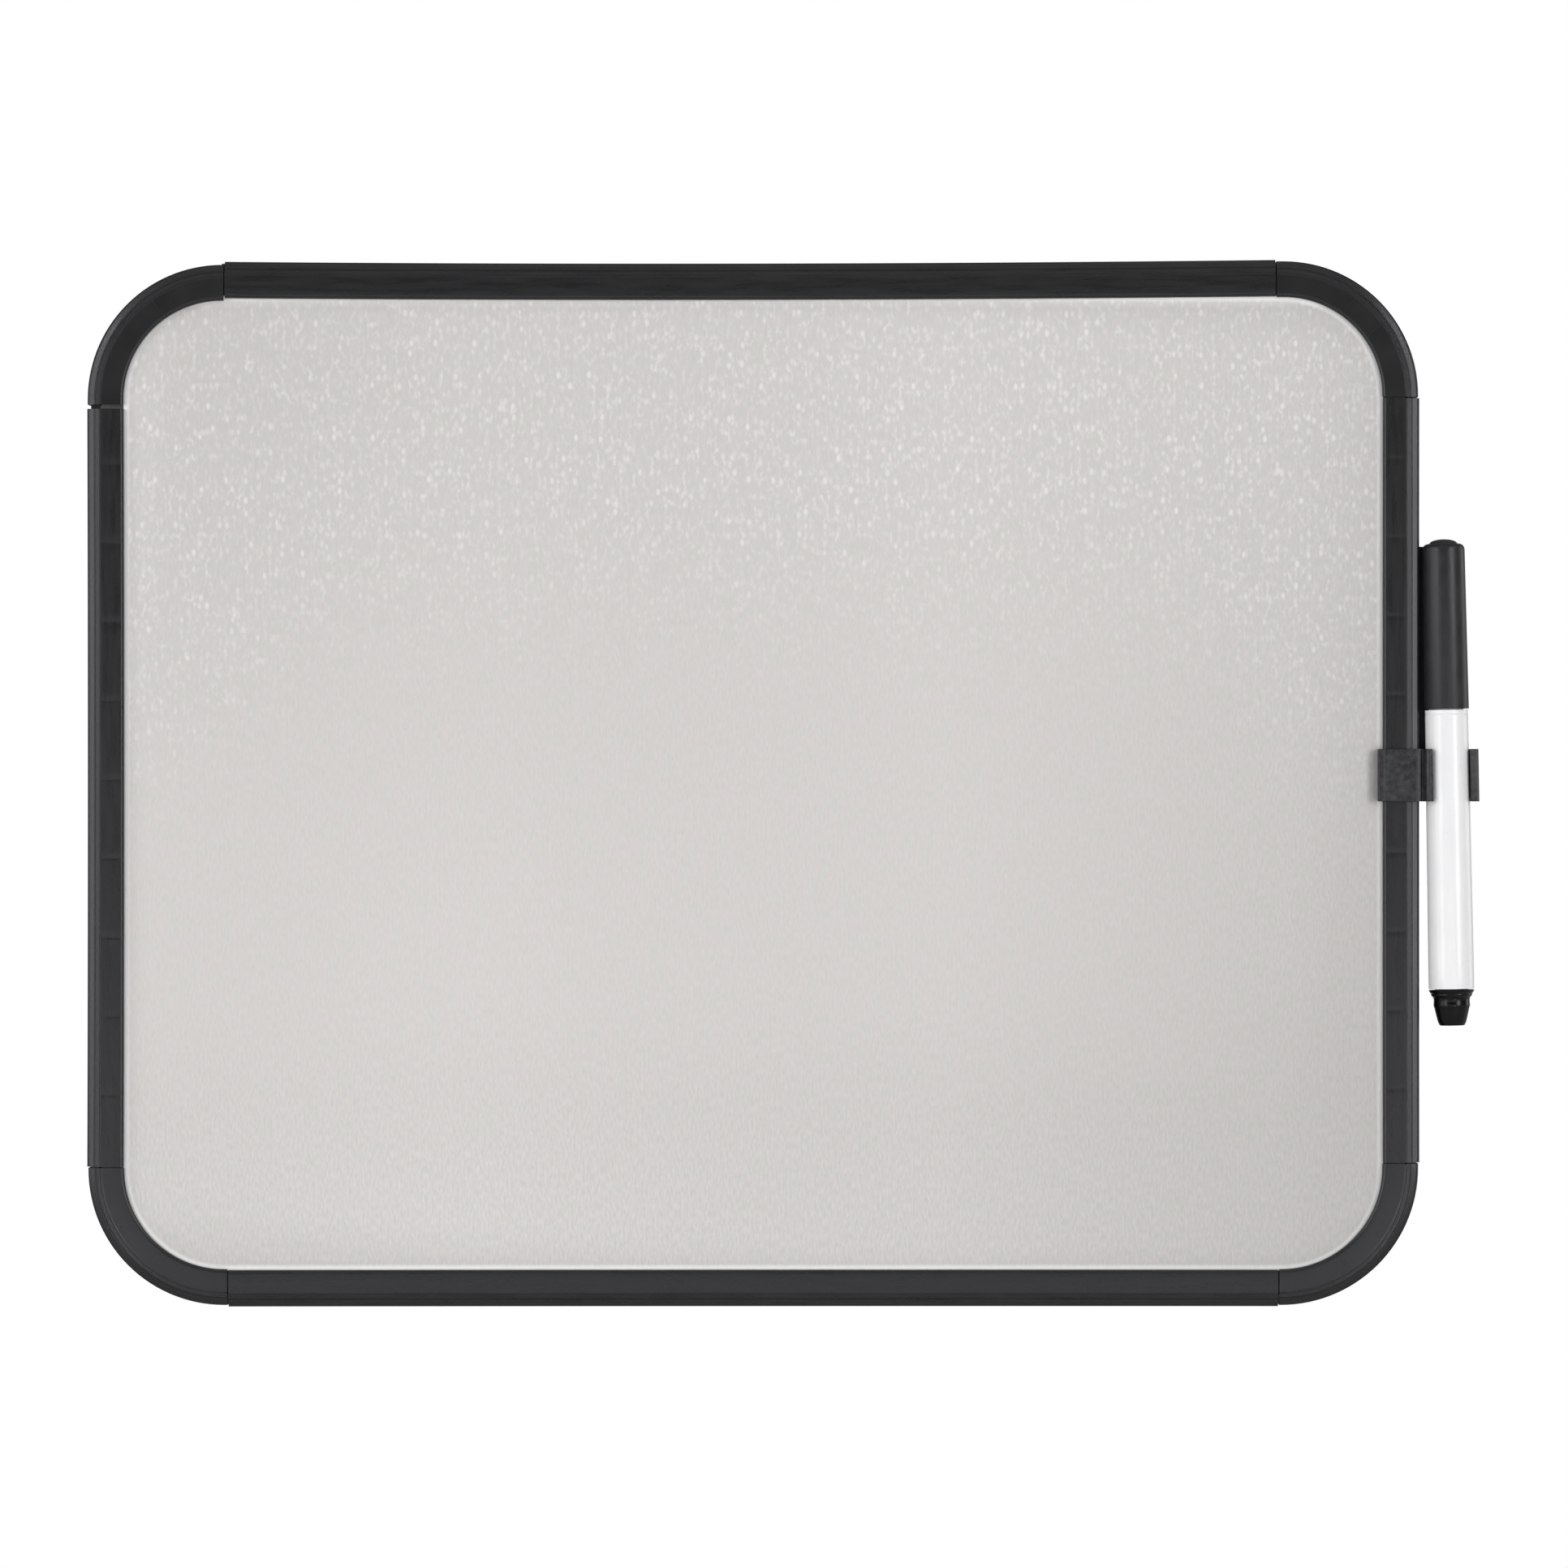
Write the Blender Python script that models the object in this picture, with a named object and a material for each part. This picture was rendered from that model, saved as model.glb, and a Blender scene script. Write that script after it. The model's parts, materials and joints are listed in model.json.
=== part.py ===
# Magnetic dry-erase board with a clip-on marker holder and its marker.
#
# Axes: X to the right, Z up, and the writing side faces -Y. The wall is the plane Y = 0, and the origin is the
# board's centre on that plane. Four flat magnets on the back touch the wall.
#
# The board is a sandwich of a steel sheet, a core board and a backing sheet. It sits in the slot of a frame of
# four rails, which four curved corner pieces join. The rails are open C sections: each corner has two tongues,
# which plug into the rails' chambers, beside the sandwich. The marker holder is one moulding, a saddle that
# slides along the right rail and an open ring, tilted a little, that grips the marker.

import math

import bmesh
import bpy
from mathutils import Vector
from mathutils.geometry import tessellate_polygon

MM = 0.001

# Fits
SEAT_GAP = 0.3 * MM          # between pieces that rest on or in each other
SLIDE_GAP = 0.3 * MM         # between the holder and the rail it slides on
SMOOTH_ANGLE = math.radians(32.0)

# Board
BOARD_WIDTH = 355.6 * MM
BOARD_HEIGHT = 279.4 * MM

# Sandwich, from the wall forwards
MAGNET_THICKNESS = 2.0 * MM
PAD_THICKNESS = 0.8 * MM
BACKING_THICKNESS = 0.6 * MM
CORE_THICKNESS = 4.0 * MM
SHEET_THICKNESS = 0.4 * MM

# Magnets and their adhesive pads
MAGNET_WIDTH = 26.0 * MM
MAGNET_HEIGHT = 16.0 * MM
MAGNET_CORNER = 1.5 * MM
MAGNET_FROM_SIDE = 34.0 * MM     # from the board's side to the magnet's centre
MAGNET_FROM_END = 30.0 * MM      # from the board's top or bottom to the magnet's centre
PAD_MARGIN = 2.0 * MM            # how far the magnet reaches past its pad all round

# Frame section, seen along a rail
FRAME_FACE = 9.8 * MM            # width seen from the front
FRONT_LIP = 1.5 * MM             # thickness of the lip in front of the sheet
REAR_LIP = 1.5 * MM              # thickness of the lip behind the backing
REAR_LIP_SETBACK = 1.0 * MM      # the rear lip is this much narrower than the front one
SLOT_BOTTOM = 3.5 * MM           # from the outer face to the bottom of the sheet's slot
REAR_ROUND = 0.8 * MM
SHOULDER_WIDTH = 3.3 * MM        # sloping shoulder, from the outer face to the crease
OUTER_SLOPE = math.radians(31.0)
INNER_SLOPE = math.radians(19.0)
SHOULDER_ROUND = 1.0 * MM
CREASE_STEP = 0.15 * MM          # the band stands this much above the shoulder's crease
GROOVE_INSET = 2.0 * MM          # fine groove where the two slopes of the shoulder meet
GROOVE_HALF_WIDTH = 0.16 * MM
GROOVE_DEPTH = 0.12 * MM
INNER_ROUND = 0.4 * MM

# Chamber of the rails, which opens into the slot
CHAMBER_WALL = 0.7 * MM          # outer wall, rear wall and the wall under the shoulder
TONGUE_STEP = 0.15 * MM          # from the slot's bottom to the corner's tongue

# Corner pieces
CORNER_LEG = 37.6 * MM           # from the board's edge to the seam
CORNER_RADIUS = 36.8 * MM        # of the outer edge; the rest of the leg is a straight collar
CORNER_RELIEF = 0.4 * MM         # the rails stand this much proud of the corners
FRONT_RELIEF_SHARE = 0.4
INNER_RELIEF_SHARE = 0.35
SEAM_GAP = 0.4 * MM
LEFT_RAIL_DROP = 0.1 * MM        # the left rail has slipped this much down its tongues
LEFT_RAIL_SHORT = 0.6 * MM       # and was cut this much short at its top
TONGUE_LENGTH = 12.0 * MM
TONGUE_TAPER = 0.5 * MM
CORNER_STEPS = 12

# Cross marks on the bands of the side rails, over the ribs of the mould
MARK_COUNT = 9
MARK_PITCH = 20.7 * MM
MARK_HALF_WIDTH = 0.45 * MM
MARK_DEPTH = 0.14 * MM
MARK_OVERRUN = 0.6 * MM

# Marker, measured up from the tip of its end plug
MARKER_LENGTH = 129.8 * MM
MARKER_BELOW_CLIP = 66.8 * MM    # from the plug's tip to the middle of the ring
MARKER_TILT = math.radians(1.05)  # the foot leans away from the board
MARKER_STEPS = 32
INNER_STEPS = 24
MERGE_SHARE = 1e-5               # points closer than this share of the marker's length are one

# End plug
PLUG_FLANGE_TOP = 9.5 * MM
PLUG_FLANGE_THICKNESS = 1.5 * MM
PLUG_FLANGE_EDGE = 0.35 * MM
PLUG_NECK_RADIUS = 4.8 * MM
PLUG_BODY_RADIUS = 5.0 * MM
PLUG_BODY_TOP = 6.3 * MM
PLUG_TIP_RADIUS = 3.5 * MM
PLUG_SPIGOT = 10.0 * MM
PLUG_WALL = 1.1 * MM
# The body's side from its tip up, as shares of its height and of the way from the tip's radius to the body's
PLUG_SIDE_SHARES = ((0.0, 0.0), (0.06, 0.27), (0.17, 0.45), (0.39, 0.64), (0.84, 0.93), (0.96, 1.0))

# Barrel
BARREL_FOOT_RADIUS = 6.1 * MM
BARREL_TOP_RADIUS = 5.72 * MM
BARREL_BORE = 4.7 * MM
BARREL_EDGE = 0.25 * MM
BARREL_SHOULDER = 84.2 * MM      # where the body ends and the neck begins
BARREL_LINE_DROP = 1.2 * MM      # fine line round the barrel below the cap
BARREL_LINE_DEPTH = 0.1 * MM
BARREL_LINE_HALF_WIDTH = 0.15 * MM
NECK_RADIUS = 4.55 * MM
NECK_SHARE = 0.28                # of the room inside the cap
NECK_TIP_RADIUS = 4.1 * MM
NECK_BORE = 3.3 * MM
NECK_SEAT_DROP = 3.7 * MM        # the bore narrows this far below the shoulder

# Cap
CAP_RIM_RADIUS = 6.0 * MM
CAP_TOP_RADIUS = 5.65 * MM
CAP_SHOULDER = 1.9 * MM          # height of the rounded shoulder
CAP_SHOULDER_POWER = 0.8         # below 1 the shoulder is fuller than an ellipse
CAP_BUTTON_RADIUS = 3.4 * MM     # raised middle of the cap's end
CAP_BUTTON_HEIGHT = 1.0 * MM
CAP_RIM_BORE = 5.0 * MM
CAP_TOP_BORE = 4.4 * MM
CAP_END_WALL = 2.6 * MM
CAP_RIM_EDGE = 0.25 * MM

# Sleeve, nib and the cap's liner
SLEEVE_FLANGE_RADIUS = 3.75 * MM
SLEEVE_FLANGE_THICKNESS = 1.0 * MM
SLEEVE_CONE_HEIGHT = 4.0 * MM
SLEEVE_CONE_RADIUS = 2.85 * MM
NIB_RADIUS = 2.0 * MM
NIB_REACH = 4.2 * MM             # from the sleeve's end to the nib's tip
NIB_TAIL = 4.2 * MM              # how deep the nib sits in the ink store
LINER_WALL = 0.9 * MM
LINER_SHARE = 0.4                # of the room inside the cap
LINER_MOUTH_RADIUS = 3.35 * MM

# Marker holder: open ring
CLIP_CLEARANCE = 0.25 * MM       # round the widest part of the barrel
CLIP_WALL = 2.0 * MM
CLIP_SHARED_WALL = 0.9 * MM      # between the ring's bore and the rail
CLIP_FROM_WALL = 0.5 * MM        # the ring's back stays clear of the wall
CLIP_HEIGHT = 14.0 * MM
CLIP_MIDDLE = 2.15 * MM          # height of the ring's middle above the board's centre
NEAR_JAW_ANGLE = 46.0            # degrees from straight forwards to the end of each jaw
FAR_JAW_ANGLE = 66.0
REAR_JOIN_ANGLE = 148.0          # where the ring's back leaves the toe

# Marker holder: saddle on the rail
PLATE_THICKNESS = 1.3 * MM
PLATE_BEVEL = 0.5 * MM
VALLEY_DEPTH = 0.4 * MM
VALLEY_WIDTH = 0.4 * MM
HOOK_WIDTH = 1.1 * MM
HOOK_STEP = 0.35 * MM
HOOK_ROUND = 0.4 * MM
TOE_REACH = 1.8 * MM
TOE_THICKNESS = 0.9 * MM
TOE_EDGE = 0.3 * MM
HOLDER_EDGE = 0.2 * MM
ARC_STEP = 8.0                   # degrees between points of the ring
JAW_END_ANGLES = (36, 72, 108, 144)

# Depths, measured forwards from the wall
PAD_REAR = MAGNET_THICKNESS + SEAT_GAP
PAD_FRONT = PAD_REAR + PAD_THICKNESS
BACKING_REAR = PAD_FRONT + SEAT_GAP
BACKING_FRONT = BACKING_REAR + BACKING_THICKNESS
CORE_REAR = BACKING_FRONT + SEAT_GAP
CORE_FRONT = CORE_REAR + CORE_THICKNESS
SHEET_REAR = CORE_FRONT + SEAT_GAP
SHEET_FRONT = SHEET_REAR + SHEET_THICKNESS
SLOT_REAR = BACKING_REAR - SEAT_GAP
SLOT_FRONT = SHEET_FRONT + SEAT_GAP
FRAME_REAR = SLOT_REAR - REAR_LIP
BAND_FRONT = SLOT_FRONT + FRONT_LIP

# The ring's bore and axis follow the marker and the rail
CLIP_BORE = BARREL_FOOT_RADIUS + CLIP_CLEARANCE
CLIP_OUTER = CLIP_BORE + CLIP_WALL
CLIP_OFFSET = SLIDE_GAP + CLIP_SHARED_WALL + CLIP_BORE     # from the rail's outer face to the ring's axis
CLIP_DEPTH = CLIP_FROM_WALL + CLIP_OUTER


def clear_scene():
    for old in list(bpy.data.objects):
        bpy.data.objects.remove(old, do_unlink=True)


def make_finish(name, colour, roughness, metallic=0.0):
    finish = bpy.data.materials.new(name)
    finish.use_nodes = True
    shader = finish.node_tree.nodes["Principled BSDF"]
    shader.inputs["Base Color"].default_value = (*colour, 1.0)
    shader.inputs["Roughness"].default_value = roughness
    shader.inputs["Metallic"].default_value = metallic
    finish.diffuse_color = (*colour, 1.0)
    return finish


def make_object(name, bm, finish, parent=None):
    """Turn a closed bmesh into an object whose faces point out, smooth but for its sharp edges."""
    bmesh.ops.recalc_face_normals(bm, faces=bm.faces)
    mesh = bpy.data.meshes.new(name)
    bm.to_mesh(mesh)
    bm.free()
    mesh.shade_smooth()
    mesh.set_sharp_from_angle(angle=SMOOTH_ANGLE)
    obj = bpy.data.objects.new(name, mesh)
    if finish is not None:
        mesh.materials.append(finish)
    bpy.context.collection.objects.link(obj)
    if parent is not None:
        obj.parent = parent
    return obj


def arc(centre, radius, start, end, steps):
    """Points on an arc, its ends included; angles in degrees from the first axis to the second."""
    points = []
    for step in range(steps + 1):
        angle = math.radians(start + (end - start) * step / steps)
        points.append((centre[0] + radius * math.cos(angle), centre[1] + radius * math.sin(angle)))
    return points


def bridge(bm, first, second):
    count = len(first)
    for i in range(count):
        j = (i + 1) % count
        bm.faces.new((first[i], first[j], second[j], second[i]))


def fill(bm, *loops):
    """Close the area inside the first loop, leaving out the areas of the others."""
    verts = [vert for loop in loops for vert in loop]
    for triangle in tessellate_polygon([[vert.co for vert in loop] for loop in loops]):
        bm.faces.new([verts[i] for i in triangle])


# Sandwich, magnets and pads


def rounded_outline(width, height, radius, steps):
    points = []
    for start, side, end in ((0, 1, 1), (90, -1, 1), (180, -1, -1), (270, 1, -1)):
        centre = (side * (width / 2 - radius), end * (height / 2 - radius))
        points += arc(centre, radius, start, start + 90, steps)
    return points


def make_plate(name, outline, rear, front, place, finish):
    """A flat plate with the given outline in X and Z, between two depths from the wall."""
    bm = bmesh.new()
    back = [bm.verts.new((x, -rear, z)) for x, z in outline]
    face = [bm.verts.new((x, -front, z)) for x, z in outline]
    bridge(bm, back, face)
    bm.faces.new(back)
    bm.faces.new(face)
    plate = make_object(name, bm, finish)
    plate.location = (place[0], 0, place[1])
    return plate


def build_sandwich(finishes):
    inset = SLOT_BOTTOM + SEAT_GAP
    outline = rounded_outline(
        BOARD_WIDTH - 2 * inset, BOARD_HEIGHT - 2 * inset, CORNER_RADIUS - inset, CORNER_STEPS
    )
    centre = (0, 0)
    make_plate("backing_sheet", outline, BACKING_REAR, BACKING_FRONT, centre, finishes["backing"])
    make_plate("core_board", outline, CORE_REAR, CORE_FRONT, centre, finishes["core"])
    make_plate("writing_sheet", outline, SHEET_REAR, SHEET_FRONT, centre, finishes["steel"])


def build_magnets(finishes):
    magnet = rounded_outline(MAGNET_WIDTH, MAGNET_HEIGHT, MAGNET_CORNER, 4)
    pad_width = MAGNET_WIDTH - 2 * PAD_MARGIN
    pad_height = MAGNET_HEIGHT - 2 * PAD_MARGIN
    pad = rounded_outline(pad_width, pad_height, MAGNET_CORNER, 4)
    for row, end in (("top", 1), ("bottom", -1)):
        for column, side in (("left", -1), ("right", 1)):
            place = (
                side * (BOARD_WIDTH / 2 - MAGNET_FROM_SIDE),
                end * (BOARD_HEIGHT / 2 - MAGNET_FROM_END),
            )
            where = row + "_" + column
            make_plate("magnet_" + where, magnet, 0, MAGNET_THICKNESS, place, finishes["magnet"])
            make_plate("pad_" + where, pad, PAD_REAR, PAD_FRONT, place, finishes["pad"])


# Frame


def shoulder_level(inset):
    """Depth of the shoulder's slopes at an inset from the outer face."""
    level = BAND_FRONT - CREASE_STEP - (SHOULDER_WIDTH - max(inset, GROOVE_INSET)) * math.tan(INNER_SLOPE)
    return level - max(GROOVE_INSET - inset, 0) * math.tan(OUTER_SLOPE)


def shoulder_round(gap, steps):
    """The round from the outer face to the outer slope, or a surface that stays a gap away from it."""
    turn = math.pi / 2 - OUTER_SLOPE
    start = shoulder_level(SHOULDER_ROUND * (1 - math.cos(turn))) - SHOULDER_ROUND * math.sin(turn)
    return arc((SHOULDER_ROUND, start), SHOULDER_ROUND + gap, 180, 180 - math.degrees(turn), steps)


def chamber_depths():
    """Depths of the rear and the front of the rails' chamber."""
    return FRAME_REAR + CHAMBER_WALL, shoulder_level(CHAMBER_WALL) - CHAMBER_WALL


def frame_section(relief, hollow):
    """Closed outline of the frame as (inset from the outer edge, depth from the wall) points.

    relief is how far the outer face stands back, so that the corners are a little slimmer than the rails.
    hollow opens the slot into the chamber, as on the rails.
    """
    drop = relief * FRONT_RELIEF_SHARE
    inner = FRAME_FACE - relief * INNER_RELIEF_SHARE
    band = BAND_FRONT - drop
    points = arc((relief + REAR_ROUND, FRAME_REAR + REAR_ROUND), REAR_ROUND, 270, 180, 3)
    shoulder = shoulder_round(0, 4)
    for along, dip in ((-GROOVE_HALF_WIDTH, 0), (0, GROOVE_DEPTH), (GROOVE_HALF_WIDTH, 0)):
        shoulder.append((GROOVE_INSET + along, shoulder_level(GROOVE_INSET + along) - dip))
    shoulder.append((SHOULDER_WIDTH, shoulder_level(SHOULDER_WIDTH)))
    shoulder.append((SHOULDER_WIDTH + CREASE_STEP, BAND_FRONT))
    points += [(inset + relief, depth - drop) for inset, depth in shoulder]
    points += arc((inner - INNER_ROUND, band - INNER_ROUND), INNER_ROUND, 90, 0, 3)
    points.append((inner, SLOT_FRONT))
    points.append((SLOT_BOTTOM, SLOT_FRONT))
    if hollow:
        rear, front = chamber_depths()
        points += [(SLOT_BOTTOM, front), (CHAMBER_WALL, front), (CHAMBER_WALL, rear), (SLOT_BOTTOM, rear)]
    points.append((SLOT_BOTTOM, SLOT_REAR))
    points.append((inner - REAR_LIP_SETBACK, SLOT_REAR))
    points.append((inner - REAR_LIP_SETBACK, FRAME_REAR))
    return points


def tongue_section():
    low_inset = CHAMBER_WALL + SEAT_GAP
    high_inset = SLOT_BOTTOM - TONGUE_STEP
    rear, front = chamber_depths()
    low_depth = rear + SEAT_GAP
    high_depth = front - SEAT_GAP
    return [(low_inset, low_depth), (low_inset, high_depth), (high_inset, high_depth), (high_inset, low_depth)]


def add_loop(bm, outline, edge, inward):
    """Place an outline on the frame: edge is a point on the outer edge in X and Z, inward a unit vector."""
    loop = []
    for inset, depth in outline:
        place = edge + inward * inset
        loop.append(bm.verts.new((place.x, -depth, place.y)))
    return loop


def make_rail(name, start, end, inward, finish):
    bm = bmesh.new()
    ends = [add_loop(bm, frame_section(0, True), edge, inward) for edge in (start, end)]
    bridge(bm, *ends)
    for loop in ends:
        fill(bm, loop)
    return make_object(name, bm, finish)


def cut_marks(rail, inward):
    """Shallow V grooves across the band of a side rail, at an even pitch about the board's centre."""
    low = SHOULDER_WIDTH + CREASE_STEP
    high = FRAME_FACE + MARK_OVERRUN
    bm = bmesh.new()
    for index in range(MARK_COUNT):
        middle = (index - (MARK_COUNT - 1) / 2) * MARK_PITCH
        ends = []
        for inset in (low, high):
            x = -inward.x * (BOARD_WIDTH / 2 - inset)
            spread = MARK_HALF_WIDTH * (MARK_DEPTH + MARK_OVERRUN) / MARK_DEPTH
            floor = bm.verts.new((x, -(BAND_FRONT - MARK_DEPTH), middle))
            above = bm.verts.new((x, -(BAND_FRONT + MARK_OVERRUN), middle + spread))
            below = bm.verts.new((x, -(BAND_FRONT + MARK_OVERRUN), middle - spread))
            ends.append([floor, above, below])
        bridge(bm, *ends)
        bm.faces.new(ends[0])
        bm.faces.new(ends[1])
    cutter = make_object(rail.name + "_marks", bm, None)
    cutter.hide_render = True
    cutter.display_type = "WIRE"
    cut = rail.modifiers.new("cross marks", "BOOLEAN")
    cut.operation = "DIFFERENCE"
    cut.solver = "EXACT"
    cut.object = cutter


def build_rails(finishes):
    half_width = BOARD_WIDTH / 2
    half_height = BOARD_HEIGHT / 2
    reach_x = half_width - CORNER_LEG - SEAM_GAP / 2
    reach_z = half_height - CORNER_LEG - SEAM_GAP / 2
    frame = finishes["frame"]
    for name, end in (("top_rail", 1), ("bottom_rail", -1)):
        start = Vector((-reach_x, end * half_height))
        stop = Vector((reach_x, end * half_height))
        make_rail(name, start, stop, Vector((0, -end)), frame)
    for name, side, drop, short in (
        ("left_rail", -1, LEFT_RAIL_DROP, LEFT_RAIL_SHORT),
        ("right_rail", 1, 0, 0),
    ):
        inward = Vector((-side, 0))
        start = Vector((side * half_width, -reach_z - drop))
        stop = Vector((side * half_width, reach_z - drop - short))
        rail = make_rail(name, start, stop, inward, frame)
        cut_marks(rail, inward)


def add_tongue(bm, edge, inward, outward):
    """Grow a tongue out of a corner's end face, and return its root loop."""
    tongue = tongue_section()
    mid_inset = sum(point[0] for point in tongue) / len(tongue)
    mid_depth = sum(point[1] for point in tongue) / len(tongue)
    tip = []
    for inset, depth in tongue:
        toward_inset = math.copysign(TONGUE_TAPER, mid_inset - inset)
        toward_depth = math.copysign(TONGUE_TAPER, mid_depth - depth)
        tip.append((inset + toward_inset / 2, depth + toward_depth / 2))
    root = add_loop(bm, tongue, edge, inward)
    full = add_loop(bm, tongue, edge + outward * (TONGUE_LENGTH - TONGUE_TAPER), inward)
    end = add_loop(bm, tip, edge + outward * TONGUE_LENGTH, inward)
    bridge(bm, root, full)
    bridge(bm, full, end)
    bm.faces.new(end)
    return root


def make_corner(name, side, end, finish):
    """The frame's section spun a quarter turn, with a straight collar and a tongue at each end."""
    bm = bmesh.new()
    centre = Vector((side * (BOARD_WIDTH / 2 - CORNER_RADIUS), end * (BOARD_HEIGHT / 2 - CORNER_RADIUS)))
    collar = CORNER_LEG - CORNER_RADIUS - SEAM_GAP / 2
    stations = []
    for step in range(CORNER_STEPS + 1):
        angle = math.pi / 2 * step / CORNER_STEPS
        outward = Vector((side * math.cos(angle), end * math.sin(angle)))
        stations.append((centre + outward * CORNER_RADIUS, -outward))
    to_side_rail = Vector((0, -end))
    to_end_rail = Vector((-side, 0))
    stations.insert(0, (stations[0][0] + to_side_rail * collar, stations[0][1]))
    stations.append((stations[-1][0] + to_end_rail * collar, stations[-1][1]))
    section = frame_section(CORNER_RELIEF, False)
    loops = [add_loop(bm, section, edge, inward) for edge, inward in stations]
    for first, second in zip(loops, loops[1:]):
        bridge(bm, first, second)
    for loop, station, outward in ((loops[0], stations[0], to_side_rail), (loops[-1], stations[-1], to_end_rail)):
        root = add_tongue(bm, station[0], station[1], outward)
        fill(bm, loop, root)
    return make_object(name, bm, finish)


def build_corners(finishes):
    for row, end in (("top", 1), ("bottom", -1)):
        for column, side in (("left", -1), ("right", 1)):
            make_corner(row + "_" + column + "_corner", side, end, finishes["frame"])


# Marker holder


def ring_point(radius, degrees):
    """A point of the ring: degrees run from straight forwards towards the rail, and on round the back."""
    angle = math.radians(degrees)
    return (-CLIP_OFFSET + radius * math.sin(angle), CLIP_DEPTH + radius * math.cos(angle))


def ring_arc(radius, start, end):
    steps = max(2, round(abs(end - start) / ARC_STEP))
    return [ring_point(radius, start + (end - start) * step / steps) for step in range(steps + 1)]


def jaw_end(degrees, turn):
    """The round end of a jaw between the outer and inner arcs; turn is 1 or -1, away from the jaw."""
    middle = ring_point(CLIP_BORE + CLIP_WALL / 2, degrees)
    facing = math.radians(degrees)
    radial = Vector((math.sin(facing), math.cos(facing)))
    along = Vector((math.cos(facing), -math.sin(facing))) * turn
    points = []
    for turned_by in JAW_END_ANGLES:
        angle = math.radians(turned_by)
        offset = (radial * math.cos(angle) + along * math.sin(angle)) * CLIP_WALL / 2
        points.append((middle[0] + offset.x, middle[1] + offset.y))
    return points


def holder_outline():
    """Outline of the holder as (inset, depth, lean): lean is 1 on the ring, which tilts, and 0 on the saddle."""
    plate_rear = BAND_FRONT + SLIDE_GAP
    plate_front = plate_rear + PLATE_THICKNESS
    hook_inner = FRAME_FACE + SLIDE_GAP
    hook_outer = hook_inner + HOOK_WIDTH
    hook_front = plate_front - HOOK_STEP
    hook_foot = SHEET_FRONT + SLIDE_GAP
    toe_front = FRAME_REAR - SLIDE_GAP
    toe_rear = toe_front - TOE_THICKNESS

    front = [(hook_inner, hook_foot), (hook_outer, hook_foot)]
    front += arc((hook_outer - HOOK_ROUND, hook_front - HOOK_ROUND), HOOK_ROUND, 0, 90, 3)
    front.append((hook_inner - SLIDE_GAP, hook_front))
    front.append((hook_inner - SLIDE_GAP - HOOK_STEP, plate_front))
    front.append((PLATE_BEVEL, plate_front))
    front.append((0, plate_front - VALLEY_DEPTH))

    valley = math.degrees(math.asin((CLIP_OFFSET - VALLEY_WIDTH) / CLIP_OUTER))
    far = 360 - FAR_JAW_ANGLE
    ring = ring_arc(CLIP_OUTER, valley, NEAR_JAW_ANGLE)
    ring += jaw_end(NEAR_JAW_ANGLE, -1)
    ring += ring_arc(CLIP_BORE, NEAR_JAW_ANGLE, far)
    ring += reversed(jaw_end(far, 1))
    ring += ring_arc(CLIP_OUTER, far, REAR_JOIN_ANGLE)

    toe = [(-SLIDE_GAP - CLIP_SHARED_WALL, toe_rear)]
    toe += [(TOE_REACH - TOE_EDGE, toe_rear), (TOE_REACH, toe_rear + TOE_EDGE), (TOE_REACH, toe_front)]
    toe.append((-SLIDE_GAP, toe_front))

    under = shoulder_round(SLIDE_GAP, 3)
    above_crease = BAND_FRONT - shoulder_level(GROOVE_INSET)
    under.append((GROOVE_INSET - SLIDE_GAP * math.sin(OUTER_SLOPE), plate_rear - above_crease))
    under.append((SHOULDER_WIDTH, plate_rear))
    under.append((hook_inner, plate_rear))

    outline = [(inset, depth, 0) for inset, depth in front]
    outline += [(inset, depth, 1) for inset, depth in ring]
    outline += [(inset, depth, 0) for inset, depth in toe + under]
    return outline


def build_holder(finishes):
    outline = holder_outline()
    bm = bmesh.new()
    ends = []
    for height in (-CLIP_HEIGHT / 2, CLIP_HEIGHT / 2):
        lean_x = -height * math.tan(MARKER_TILT)
        ends.append([bm.verts.new((lean * lean_x - inset, -depth, height)) for inset, depth, lean in outline])
    bridge(bm, *ends)
    for loop in ends:
        bm.faces.new(loop)
    rims = [edge for edge in bm.edges if len({vert.co.z for vert in edge.verts}) == 1]
    bmesh.ops.bevel(bm, geom=rims, offset=HOLDER_EDGE, segments=2, profile=0.5, affect="EDGES", clamp_overlap=True)
    holder = make_object("marker_holder", bm, finishes["holder"])
    holder.location = (BOARD_WIDTH / 2, 0, CLIP_MIDDLE)
    return holder


# Marker


def make_turned(name, profile, steps, finish, axis):
    """Spin a closed profile of (radius, height) points; points on the axis are merged."""
    bm = bmesh.new()
    verts = [bm.verts.new((radius, 0, height)) for radius, height in profile]
    edges = [bm.edges.new((verts[i], verts[(i + 1) % len(verts)])) for i in range(len(verts))]
    on_axis = [edge for edge in edges if all(vert.co.x == 0 for vert in edge.verts)]
    bmesh.ops.delete(bm, geom=on_axis, context="EDGES")
    bmesh.ops.spin(
        bm,
        geom=bm.verts[:] + bm.edges[:],
        cent=(0, 0, 0),
        axis=(0, 0, 1),
        angle=2 * math.pi,
        steps=steps,
        use_merge=True,
    )
    bmesh.ops.remove_doubles(bm, verts=bm.verts, dist=MARKER_LENGTH * MERGE_SHARE)
    turned = make_object(name, bm, finish, axis)
    turned.location = (0, 0, -MARKER_BELOW_CLIP)
    return turned


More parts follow.
